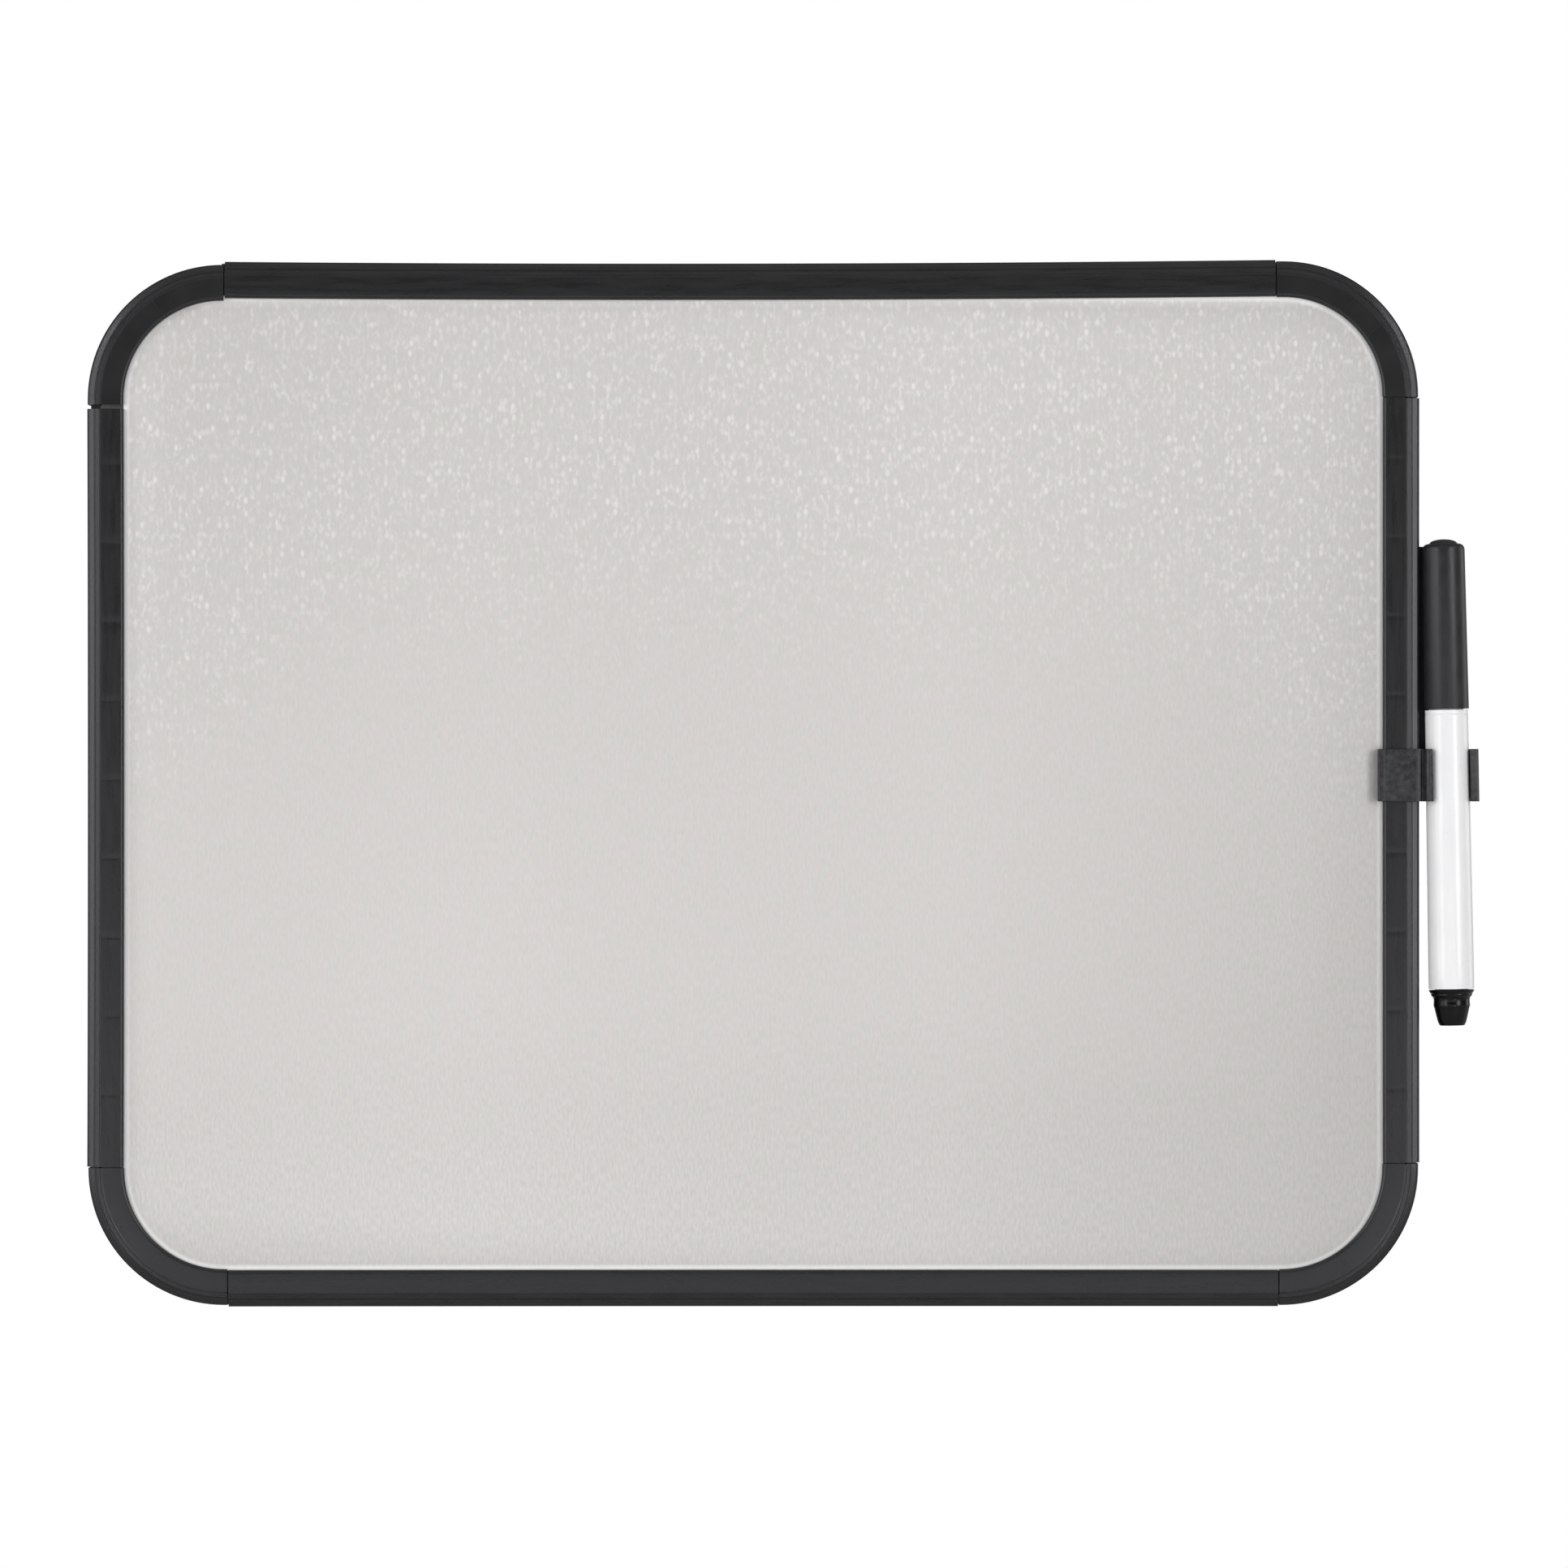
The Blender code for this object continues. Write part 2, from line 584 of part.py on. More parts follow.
def end_plug_profile():
    flange_foot = PLUG_FLANGE_TOP - PLUG_FLANGE_THICKNESS
    spigot_radius = BARREL_BORE - SEAT_GAP
    spigot_top = PLUG_FLANGE_TOP + PLUG_SPIGOT
    cup_floor = PLUG_FLANGE_TOP + PLUG_WALL
    profile = [(0, 0)]
    for height_share, radius_share in PLUG_SIDE_SHARES:
        radius = PLUG_TIP_RADIUS + (PLUG_BODY_RADIUS - PLUG_TIP_RADIUS) * radius_share
        profile.append((radius, PLUG_BODY_TOP * height_share))
    return profile + [
        (PLUG_NECK_RADIUS, PLUG_BODY_TOP),
        (PLUG_NECK_RADIUS, flange_foot),
        (BARREL_FOOT_RADIUS - PLUG_FLANGE_EDGE, flange_foot),
        (BARREL_FOOT_RADIUS, flange_foot + PLUG_FLANGE_EDGE),
        (BARREL_FOOT_RADIUS, PLUG_FLANGE_TOP),
        (spigot_radius, PLUG_FLANGE_TOP),
        (spigot_radius, spigot_top),
        (spigot_radius - PLUG_WALL, spigot_top),
        (spigot_radius - PLUG_WALL, cup_floor),
        (0, cup_floor),
    ]


def barrel_radius(height):
    foot = PLUG_FLANGE_TOP + SEAT_GAP
    share = (height - foot) / (BARREL_SHOULDER - foot)
    return BARREL_FOOT_RADIUS + (BARREL_TOP_RADIUS - BARREL_FOOT_RADIUS) * share


def cap_room():
    """Length of the hollow in the cap; the neck and the liner share it."""
    return MARKER_LENGTH - CAP_END_WALL - BARREL_SHOULDER - SEAT_GAP


def neck_end():
    return BARREL_SHOULDER + cap_room() * NECK_SHARE


def barrel_profile():
    foot = PLUG_FLANGE_TOP + SEAT_GAP
    line = BARREL_SHOULDER - BARREL_LINE_DROP
    seat = BARREL_SHOULDER - NECK_SEAT_DROP
    return [
        (BARREL_BORE, foot),
        (BARREL_FOOT_RADIUS - BARREL_EDGE, foot),
        (BARREL_FOOT_RADIUS, foot + BARREL_EDGE),
        (barrel_radius(line - BARREL_LINE_HALF_WIDTH), line - BARREL_LINE_HALF_WIDTH),
        (barrel_radius(line) - BARREL_LINE_DEPTH, line),
        (barrel_radius(line + BARREL_LINE_HALF_WIDTH), line + BARREL_LINE_HALF_WIDTH),
        (BARREL_TOP_RADIUS, BARREL_SHOULDER - BARREL_EDGE),
        (BARREL_TOP_RADIUS - BARREL_EDGE, BARREL_SHOULDER),
        (NECK_RADIUS, BARREL_SHOULDER),
        (NECK_RADIUS, neck_end() - cap_room() * NECK_SHARE / 4),
        (NECK_TIP_RADIUS, neck_end()),
        (NECK_BORE, neck_end()),
        (NECK_BORE, seat),
        (BARREL_BORE, seat),
    ]


def quarter(outer, inner, low, high, power, steps):
    """Points of a rounded edge from (outer, low) up to (inner, high), an ellipse where power is 1."""
    points = []
    for step in range(steps + 1):
        angle = math.pi / 2 * step / steps
        across = abs(math.cos(angle)) ** power
        points.append((inner + (outer - inner) * across, low + (high - low) * math.sin(angle) ** power))
    return points


def cap_profile():
    rim = BARREL_SHOULDER + SEAT_GAP
    end = MARKER_LENGTH - CAP_BUTTON_HEIGHT
    inside_top = MARKER_LENGTH - CAP_END_WALL
    profile = [
        (CAP_RIM_BORE, rim),
        (CAP_RIM_RADIUS - CAP_RIM_EDGE, rim),
        (CAP_RIM_RADIUS, rim + CAP_RIM_EDGE),
    ]
    profile += quarter(CAP_TOP_RADIUS, CAP_BUTTON_RADIUS, end - CAP_SHOULDER, end, CAP_SHOULDER_POWER, 5)
    profile += quarter(CAP_BUTTON_RADIUS, 0, end, MARKER_LENGTH, 1, 4)[1:-1]
    return profile + [
        (0, MARKER_LENGTH),
        (0, inside_top),
        (CAP_TOP_BORE - CAP_BUTTON_HEIGHT, inside_top),
        (CAP_TOP_BORE, inside_top - CAP_BUTTON_HEIGHT),
    ]


def nib_holder_profile():
    foot = BARREL_SHOULDER - NECK_SEAT_DROP + SEAT_GAP
    flange = neck_end() + SEAT_GAP
    cone = flange + SLEEVE_FLANGE_THICKNESS
    bore = NIB_RADIUS + SEAT_GAP
    return [
        (bore, foot),
        (NECK_BORE - SEAT_GAP, foot),
        (NECK_BORE - SEAT_GAP, flange),
        (SLEEVE_FLANGE_RADIUS, flange),
        (SLEEVE_FLANGE_RADIUS, cone),
        (SLEEVE_CONE_RADIUS, cone + SLEEVE_CONE_HEIGHT),
        (bore, cone + SLEEVE_CONE_HEIGHT),
    ]


def sleeve_end():
    return neck_end() + SEAT_GAP + SLEEVE_FLANGE_THICKNESS + SLEEVE_CONE_HEIGHT


def store_top():
    return BARREL_SHOULDER - NECK_SEAT_DROP - SEAT_GAP


def nib_profile():
    tip = sleeve_end() + NIB_REACH
    tail = store_top() - NIB_TAIL
    profile = [(0, tail), (NIB_RADIUS - SEAT_GAP, tail), (NIB_RADIUS, tail + SEAT_GAP)]
    profile += arc((0, tip - NIB_RADIUS), NIB_RADIUS, 0, 90, 5)
    profile[-1] = (0, tip)
    return profile


def ink_store_profile():
    foot = PLUG_FLANGE_TOP + PLUG_SPIGOT + SEAT_GAP
    radius = BARREL_BORE - SEAT_GAP
    socket = NIB_RADIUS + SEAT_GAP
    socket_floor = store_top() - NIB_TAIL - SEAT_GAP
    return [
        (0, foot),
        (radius, foot),
        (radius, store_top()),
        (socket, store_top()),
        (socket, socket_floor),
        (0, socket_floor),
    ]


def cap_bore(height):
    rim = BARREL_SHOULDER + SEAT_GAP
    top = MARKER_LENGTH - CAP_END_WALL - CAP_BUTTON_HEIGHT
    share = (height - rim) / (top - rim)
    return CAP_RIM_BORE + (CAP_TOP_BORE - CAP_RIM_BORE) * share


def liner_profile():
    mouth = sleeve_end() - SLEEVE_CONE_HEIGHT / 2
    top = mouth + cap_room() * LINER_SHARE
    outer_mouth = cap_bore(mouth) - SEAT_GAP
    outer_top = cap_bore(top) - SEAT_GAP
    inner_top = outer_top - 2 * LINER_WALL
    return [
        (LINER_MOUTH_RADIUS, mouth),
        (outer_mouth, mouth),
        (outer_top, top - LINER_WALL),
        (outer_top - LINER_WALL, top),
        (0, top),
        (0, top - LINER_WALL),
        (inner_top, top - 2 * LINER_WALL),
    ]


def build_marker(finishes):
    axis = bpy.data.objects.new("marker_axis", None)
    bpy.context.collection.objects.link(axis)
    axis.location = (BOARD_WIDTH / 2 + CLIP_OFFSET, -CLIP_DEPTH, CLIP_MIDDLE)
    axis.rotation_euler = (0, -MARKER_TILT, 0)
    make_turned("end_plug", end_plug_profile(), MARKER_STEPS, finishes["plug"], axis)
    make_turned("marker_barrel", barrel_profile(), MARKER_STEPS, finishes["barrel"], axis)
    make_turned("marker_cap", cap_profile(), MARKER_STEPS, finishes["cap"], axis)
    make_turned("nib_holder", nib_holder_profile(), INNER_STEPS, finishes["barrel"], axis)
    make_turned("nib", nib_profile(), INNER_STEPS, finishes["felt"], axis)
    make_turned("ink_reservoir", ink_store_profile(), INNER_STEPS, finishes["felt"], axis)
    make_turned("inner_cap", liner_profile(), INNER_STEPS, finishes["cap"], axis)


def main():
    clear_scene()
    finishes = {
        "steel": make_finish("brushed steel", (0.62, 0.60, 0.59), 0.42, 0.9),
        "core": make_finish("fibreboard", (0.36, 0.25, 0.16), 0.9),
        "backing": make_finish("grey backing", (0.30, 0.29, 0.28), 0.8),
        "frame": make_finish("satin black frame", (0.025, 0.025, 0.027), 0.42),
        "holder": make_finish("matt black holder", (0.028, 0.028, 0.03), 0.6),
        "magnet": make_finish("dark magnet", (0.04, 0.038, 0.036), 0.75),
        "pad": make_finish("white foam pad", (0.75, 0.75, 0.72), 0.9),
        "barrel": make_finish("gloss white", (0.82, 0.82, 0.83), 0.2),
        "cap": make_finish("satin black cap", (0.02, 0.02, 0.021), 0.38),
        "plug": make_finish("gloss black plug", (0.01, 0.01, 0.011), 0.15),
        "felt": make_finish("black felt", (0.02, 0.02, 0.022), 0.95),
    }
    build_sandwich(finishes)
    build_magnets(finishes)
    build_rails(finishes)
    build_corners(finishes)
    build_holder(finishes)
    build_marker(finishes)
    bpy.context.view_layer.update()


main()
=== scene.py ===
# %% [markdown]
# # A magnetic whiteboard with its marker
#
# The real thing is a sheet of brushed steel on fibreboard, held in the slot of a black plastic frame. A
# small moulded holder clips over the right rail and grips a slim marker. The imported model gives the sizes
# and the moving bodies. This script dresses it, piece by piece, and every new piece stands where its plain
# one stood.

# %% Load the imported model
import json
import math

import bmesh
import bpy
from mathutils import Matrix, Vector

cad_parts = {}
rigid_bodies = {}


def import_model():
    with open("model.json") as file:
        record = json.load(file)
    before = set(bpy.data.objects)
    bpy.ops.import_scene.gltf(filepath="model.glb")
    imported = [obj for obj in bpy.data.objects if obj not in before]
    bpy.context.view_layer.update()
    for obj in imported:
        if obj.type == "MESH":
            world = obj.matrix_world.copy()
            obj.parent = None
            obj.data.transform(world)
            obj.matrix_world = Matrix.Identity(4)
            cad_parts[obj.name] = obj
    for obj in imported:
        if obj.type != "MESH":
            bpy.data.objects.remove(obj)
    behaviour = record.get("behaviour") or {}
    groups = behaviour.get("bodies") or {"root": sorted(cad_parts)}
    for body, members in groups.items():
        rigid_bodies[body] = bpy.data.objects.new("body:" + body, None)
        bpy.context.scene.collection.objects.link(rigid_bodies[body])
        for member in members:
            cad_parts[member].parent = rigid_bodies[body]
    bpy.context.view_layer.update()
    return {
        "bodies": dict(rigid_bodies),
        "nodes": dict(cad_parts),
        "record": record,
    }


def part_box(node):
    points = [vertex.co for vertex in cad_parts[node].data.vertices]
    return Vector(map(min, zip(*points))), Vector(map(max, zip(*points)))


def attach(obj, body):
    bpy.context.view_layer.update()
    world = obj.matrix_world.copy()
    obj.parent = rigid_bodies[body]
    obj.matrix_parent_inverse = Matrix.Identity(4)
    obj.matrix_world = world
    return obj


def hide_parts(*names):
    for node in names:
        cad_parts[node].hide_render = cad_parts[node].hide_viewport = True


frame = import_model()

MM = 0.001

# %% [markdown]
# ## Helpers for node trees
#
# Materials and Geometry Nodes are both trees of nodes. Written out in full they are long, so a few small
# functions do the routine work. The first makes a node and fills its sockets. The others make the nodes that
# are needed most, in the tree of the sockets that they are given, and hand back the socket to use next.

# %% Make nodes and link them
def node(tree, kind, inputs=None, **settings):
    """Add a node. inputs maps a socket's name or number to a value, or to the socket that feeds it."""
    made = tree.nodes.new(kind)
    for setting, value in settings.items():
        setattr(made, setting, value)
    for key, value in (inputs or {}).items():
        if isinstance(value, bpy.types.NodeSocket):
            tree.links.new(value, made.inputs[key])
        else:
            made.inputs[key].default_value = value
    return made


def calc(operation, *values):
    """A Math node in the tree of the first socket among its values: its output."""
    tree = next(value.id_data for value in values if isinstance(value, bpy.types.NodeSocket))
    return node(tree, "ShaderNodeMath", dict(enumerate(values)), operation=operation).outputs[0]


def product(*values):
    """All the values multiplied, by a row of Math nodes."""
    result = values[0]
    for value in values[1:]:
        result = calc("MULTIPLY", result, value)
    return result


def remap(value, low, high, to_low=0.0, to_high=1.0, smooth=False):
    """Turn the range low to high into to_low to to_high, and hold it there outside."""
    ends = {0: value, 1: low, 2: high, 3: to_low, 4: to_high}
    kind = "SMOOTHSTEP" if smooth else "LINEAR"
    return node(value.id_data, "ShaderNodeMapRange", ends, interpolation_type=kind).outputs[0]


def mixed(mask, first, second):
    """Blend two colours by a mask."""
    return node(mask.id_data, "ShaderNodeMix", {0: mask, 6: first, 7: second}, data_type="RGBA").outputs[2]


def grey(level, warmth=0.0):
    """A colour: a grey, with red raised and blue lowered a little by warmth."""
    return (level * (1 + warmth), level, level * (1 - warmth), 1.0)


def bumped(height, distance):
    """Normals of a surface that rises by height times distance."""
    inputs = {"Height": height, "Distance": distance}
    return node(height.id_data, "ShaderNodeBump", inputs).outputs["Normal"]


print("node helpers ready")

# %% [markdown]
# ## Effects that the materials share
#
# No real surface is one flat colour. Moulded plastic is cloudy and faintly grained, brushed steel is
# streaked, and handled things carry hairline scratches. Each effect is a node group that is built once. It
# divides the position by a feature size in metres, so that the same noise is round on one piece and long
# and thin on another, and it puts out a mask that the material is free to use for colour, gloss or height.

# %% Group builder
def new_group(name, **values):
    """A group that takes Vector, Size and values and puts out Mask: its tree, its inputs, its end socket."""
    tree = bpy.data.node_groups.new(name, "ShaderNodeTree")
    for label, value in {"Vector": ORIGIN, "Size": UNIT, **values}.items():
        kind = "NodeSocketVector" if isinstance(value, tuple) else "NodeSocketFloat"
        tree.interface.new_socket(name=label, in_out="INPUT", socket_type=kind).default_value = value
    tree.interface.new_socket(name="Mask", in_out="OUTPUT", socket_type="NodeSocketFloat")
    given = tree.nodes.new("NodeGroupInput").outputs
    end = tree.nodes.new("NodeGroupOutput").inputs["Mask"]
    return tree, given, end


def texture(tree, kind, given, **settings):
    """A texture node whose position is counted in features instead of metres: its outputs."""
    scaled = {0: given["Vector"], 1: given["Size"]}
    position = node(tree, "ShaderNodeVectorMath", scaled, operation="DIVIDE").outputs[0]
    return node(tree, "ShaderNodeTex" + kind, {"Vector": position, "Scale": 1.0, **settings}).outputs


ORIGIN = (0.0, 0.0, 0.0)
UNIT = (MM, MM, MM)

# %% Clouds, streaks and grain: noise stretched by its size
clouds, given, end = new_group("clouds", Detail=2.0, Low=0.3, High=0.7)
noise = texture(clouds, "Noise", given, Detail=given["Detail"])[0]
clouds.links.new(remap(noise, given["Low"], given["High"]), end)
print("group:", clouds.name)

# %% Hairlines: the thin contour lines of a stretched noise
hairlines, given, end = new_group("hairlines", Width=0.01)
noise = texture(hairlines, "Noise", given, Detail=0.0)[0]
away = calc("ABSOLUTE", calc("SUBTRACT", noise, 0.5))
hairlines.links.new(remap(away, 0.0, given["Width"], 1.0, 0.0, smooth=True), end)
print("group:", hairlines.name)

# %% Flecks: one small spot in some of the cells of a cell pattern
flecks, given, end = new_group("flecks", Share=0.3, Reach=0.4)
cells = texture(flecks, "Voronoi", given, Randomness=1.0)
lot = node(flecks, "ShaderNodeSeparateColor", {"Color": cells["Color"]}).outputs
chosen = calc("LESS_THAN", lot[0], given["Share"])
reach = product(given["Reach"], remap(lot[1], 0.0, 1.0, 0.5, 1.2))
core = product(reach, 0.3)
spot = remap(cells["Distance"], core, reach, 1.0, 0.0, smooth=True)
strength = remap(lot[2], 0.0, 1.0, 0.35, 1.0)
flecks.links.new(product(spot, chosen, strength), end)
print("group:", flecks.name)

# %% Place a group in a material
def effect(group, vector, size, **values):
    """Add a group to a material with its own values, and return its mask."""
    inputs = {"Vector": vector, "Size": tuple(length * MM for length in size), **values}
    return node(vector.id_data, "ShaderNodeGroup", inputs, node_tree=group).outputs["Mask"]


def new_material(name):
    """A material with its Principled shader and its Object coordinates."""
    material = bpy.data.materials.new(name)
    material.use_nodes = True
    nodes = material.node_tree.nodes
    return material, nodes["Principled BSDF"], nodes.new("ShaderNodeTexCoord").outputs["Object"]


def feed(shader, **inputs):
    """Set or link sockets of the shader; an underscore in a keyword stands for a space."""
    for key, value in inputs.items():
        socket = shader.inputs[key.replace("_", " ")]
        if isinstance(value, bpy.types.NodeSocket):
            shader.id_data.links.new(value, socket)
        else:
            socket.default_value = value


# %% [markdown]
# ## Black plastics
#
# The rails, the corners, the holder, the cap and the plug are all black, and what sets them apart is their
# gloss. One function makes a black plastic from its level of gloss and its texture: cloudy colour, a grain
# too fine to see that breaks up the reflection, and a few hairline scratches that catch the light. The
# frame's clouds are long and thin and follow the moulding, along attributes that its pieces get when they
# are swept.

# %% Black plastic
def black_plastic(
    name, level, roughness, cloud_size, grain_size, grain_height,
    sheen=0.4, scratches=0.1, tones=(0.8, 1.25), coordinate=None
):
    """A black moulded plastic, with its sizes in millimetres. scratches is how strongly the hairlines show,
    tones how far the clouds darken and lighten it, and coordinate a function that makes its coordinates."""
    material, shader, place = new_material(name)
    if coordinate is not None:
        place = coordinate(place)
    cloud = effect(clouds, place, cloud_size, Detail=3.0)
    grain = effect(clouds, place, grain_size, Low=0.25, High=0.75)
    scratch = effect(hairlines, place, [length * 3 for length in cloud_size], Width=0.004)
    scratch = product(scratch, scratches)
    colour = mixed(cloud, grey(level * tones[0], -0.02), grey(level * tones[1], -0.02))
    colour = mixed(scratch, colour, grey(level * 5))
    normal = bumped(calc("SUBTRACT", grain, scratch), grain_height * MM)
    rough = remap(cloud, 0.0, 1.0, roughness * 0.9, roughness * 1.12)
    feed(shader, Base_Color=colour, Roughness=rough, Normal=normal)
    feed(shader, Specular_IOR_Level=sheen, Specular_Tint=(0.95, 0.95, 1.0, 1))
    return material


def along_moulding(place):
    """Coordinates that run along the moulding, across it and away from the wall."""
    tree = place.id_data
    along = node(tree, "ShaderNodeAttribute", attribute_name="along").outputs["Fac"]
    inset = node(tree, "ShaderNodeAttribute", attribute_name="inset").outputs["Fac"]
    depth = node(tree, "ShaderNodeSeparateXYZ", {0: place}).outputs["Y"]
    return node(tree, "ShaderNodeCombineXYZ", {0: along, 1: inset, 2: depth}).outputs[0]


FRAME_BLACK = black_plastic(
    "satin black moulding", 0.012, 0.28, (14, 1.6, 1.6), (0.9, 0.16, 0.16), 0.006, coordinate=along_moulding
)
HOLDER_BLACK = black_plastic(
    "matt black holder", 0.018, 0.42, (1.3, 1.3, 1.3), (0.3, 0.3, 0.3), 0.02,
    scratches=0.15, tones=(0.4, 2.0)
)
CAP_BLACK = black_plastic("satin black cap", 0.012, 0.38, (3, 3, 5), (2.2, 2.2, 3.6), 0.03)
PLUG_BLACK = black_plastic("gloss black plug", 0.0015, 0.22, (2, 2, 2), (1.5, 1.5, 1.5), 0.004, sheen=0.25)
print("black plastics:", [material.name for material in (FRAME_BLACK, HOLDER_BLACK, CAP_BLACK, PLUG_BLACK)])

# %% [markdown]
# ## Brushed steel
#
# The writing sheet is bare steel with a fine upright brushing under a clear lacquer. In the upper part of
# the board the light picks out bright flecks, small upright dashes a millimetre or two long, which fade out
# towards the middle; these glints are painted highlights in the colour. Slow clouds of a warmer and a cooler
# grey keep the large face from looking flat, and the brushing shows darker at the foot and on the right. The
# studio's own reflections are too soft for a few lamps, so some of their work is painted: a shade that falls
# off towards the sides and lifts at the foot, a bright rim where the sheet meets the frame, and a pale line
# under the top rail, both of them also a painted glow. The part of the sheet that shows in the seams is
# painted dark, as shade.

# %% Parts of the steel
OPENING_X, OPENING_Z, OPENING_RADIUS = 168 * MM, 130 * MM, 27 * MM
# How far past the opening the painted shade of the seams begins
SEAM_SHADE_REACH = 0.1 * MM
# Each painted change of brightness across the sheet, shade at the sides and light at the foot:
# axis, two places in mm, the factors there, whether it eases
PAINTED_FALL_OFF = [
    ("X", 50, 165, 1.0, 0.83, False),
    ("X", 140, 170, 1.0, 0.93, True),
    ("Z", -80, -125, 1.0, 1.06, True),
    ("X", -170, -60, 0.9, 1.0, True),
]


def eased(value, start, stop, first, last, smooth=True):
    """Turn places from start to stop, in millimetres, into levels from first to last."""
    return remap(value, start * MM, stop * MM, first, last, smooth=smooth)


def painted_steel_glints(place):
    """Painted glints: bright dashes in loose groups, and single grains."""
    dashes = effect(clouds, place, (1.2, 1.5, 2.1), Detail=1.0, Low=0.5, High=0.9)
    groups = effect(clouds, place, (4, 3, 6), Detail=1.0, High=0.62)
    grains = effect(flecks, place, (1.7, 2.5, 2.8), Share=0.4, Reach=0.6)
    return calc("MAXIMUM", product(dashes, groups), product(grains, 0.7))


def opening_distance(sideways, upright):
    """How far inside the frame's rounded opening a place lies."""
    tree = sideways.id_data
    past_x = calc("SUBTRACT", sideways, OPENING_X - OPENING_RADIUS)
    past_z = calc("SUBTRACT", upright, OPENING_Z - OPENING_RADIUS)
    outside = {0: calc("MAXIMUM", past_x, 0.0), 1: calc("MAXIMUM", past_z, 0.0)}
    bend = node(tree, "ShaderNodeCombineXYZ", outside).outputs[0]
    reach = node(tree, "ShaderNodeVectorMath", {0: bend}, operation="LENGTH").outputs["Value"]
    within = calc("MINIMUM", calc("MAXIMUM", past_x, past_z), 0.0)
    return calc("SUBTRACT", OPENING_RADIUS, calc("ADD", reach, within))


# %% Steel
def steel_sheet():
    """The material of the writing sheet."""
    material, shader, place = new_material("brushed steel")
    tree = material.node_tree
    at = node(tree, "ShaderNodeSeparateXYZ", {0: place}).outputs
    sideways = calc("ABSOLUTE", at["X"])
    upright = calc("ABSOLUTE", at["Z"])
    brushing = effect(clouds, place, (0.6, 1, 2.0))
    blotch = effect(clouds, place, (1.3, 1, 3.6))
    tint = effect(clouds, place, (4, 1, 5), Low=0.4, High=0.6)
    raised = calc("ADD", at["Z"], eased(sideways, 100, 165, 0.0, 0.04))
    # upper is where the painted glints show, with darker clouds among them: the upper part, reaching lower
    # at the sides
    upper = eased(raised, 12, 85, 0.06, 1.0)
    low = eased(at["Z"], -50, -120, 0.22, 0.5)
    right = eased(at["X"], 80, 160, 0.22, 0.4)
    # Darker brushing streaks, stronger towards the foot and the right
    darker_streaks = product(brushing, calc("MAXIMUM", low, right))
    # Painted highlight: the sheet is lighter along the frame's opening, where the lip would shade it
    rim = eased(opening_distance(sideways, upright), 1.9, 0.5, 0.0, 1.0)
    painted_line_under_top = eased(at["Z"], 126.5, 128.5, 0.0, 1.0)
    # Painted shade: the sheet that shows in the seams is dark, as it lies deep in the slot
    seam_shade_x = calc("GREATER_THAN", sideways, OPENING_X + SEAM_SHADE_REACH)
    seam_shade_z = calc("GREATER_THAN", upright, OPENING_Z + SEAM_SHADE_REACH)
    seam_shade = calc("MAXIMUM", seam_shade_x, seam_shade_z)

    colour = mixed(tint, (0.634, 0.620, 0.596, 1), (0.650, 0.615, 0.609, 1))
    colour = mixed(darker_streaks, colour, grey(0.46, -0.01))
    colour = mixed(product(blotch, upper, 0.6), colour, grey(0.57, 0.01))
    # Painted highlight: the glints are bright colour, fading out towards the middle
    painted_glint = product(painted_steel_glints(place), upper, 0.75)
    colour = mixed(painted_glint, colour, (0.93, 0.90, 0.88, 1))
    # The painted highlight along the opening
    colour = mixed(product(rim, 0.7), colour, grey(0.95))
    # The seams painted dark as shade
    colour = mixed(seam_shade, colour, grey(0.09, 0.05))
    # Painted shade and light: the sheet is darker towards the sides and lighter at the foot
    shade = product(*[eased(at[axis], *change) for axis, *change in PAINTED_FALL_OFF])
    colour = node(tree, "ShaderNodeVectorMath", {0: colour, "Scale": shade}, operation="SCALE").outputs[0]
    height = calc("ADD", brushing, product(blotch, 0.5))
    # Painted glow: the rim and a pale line under the top rail give light by emission, though they are no
    # lamp
    painted_glow = calc("ADD", product(rim, 0.09), product(painted_line_under_top, 0.1))
    painted_glow = product(painted_glow, calc("SUBTRACT", 1.0, seam_shade))
    feed(shader, Base_Color=colour, Roughness=remap(brushing, 0.0, 1.0, 0.5, 0.58), Metallic=0.4)
    feed(shader, Normal=bumped(height, 0.004 * MM))
    # The emission is the painted glow
    feed(shader, Emission_Color=mixed(painted_glow, grey(0.0), grey(1.0)), Emission_Strength=1.0)
    return material


STEEL = steel_sheet()
print("steel:", len(STEEL.node_tree.nodes), "nodes")

# %% [markdown]
# ## The other finishes
#
# Behind the steel are fibreboard, seen only at its edge, a grey backing sheet, flexible magnets with faint
# extrusion lines, and white foam pads. The marker adds glossy white plastic, a translucent white liner and
# black felt.

# %% Fibreboard, backing, magnet and foam
def fibre_or_foam(name, dark, light, cloud_size, grain_size, grain_height, roughness):
    """A dull material: two tones in clouds, and a grain that is felt as much as seen."""
    material, shader, place = new_material(name)
    cloud = effect(clouds, place, cloud_size, Detail=4.0)
    grain = effect(clouds, place, grain_size, Detail=3.0)
    tone = calc("ADD", product(cloud, 0.5), product(grain, 0.5))
    rough = remap(grain, 0.0, 1.0, roughness - 0.06, roughness + 0.04)
    colour = mixed(tone, dark, light)
    feed(shader, Base_Color=colour, Roughness=rough, Normal=bumped(grain, grain_height * MM))
    return material


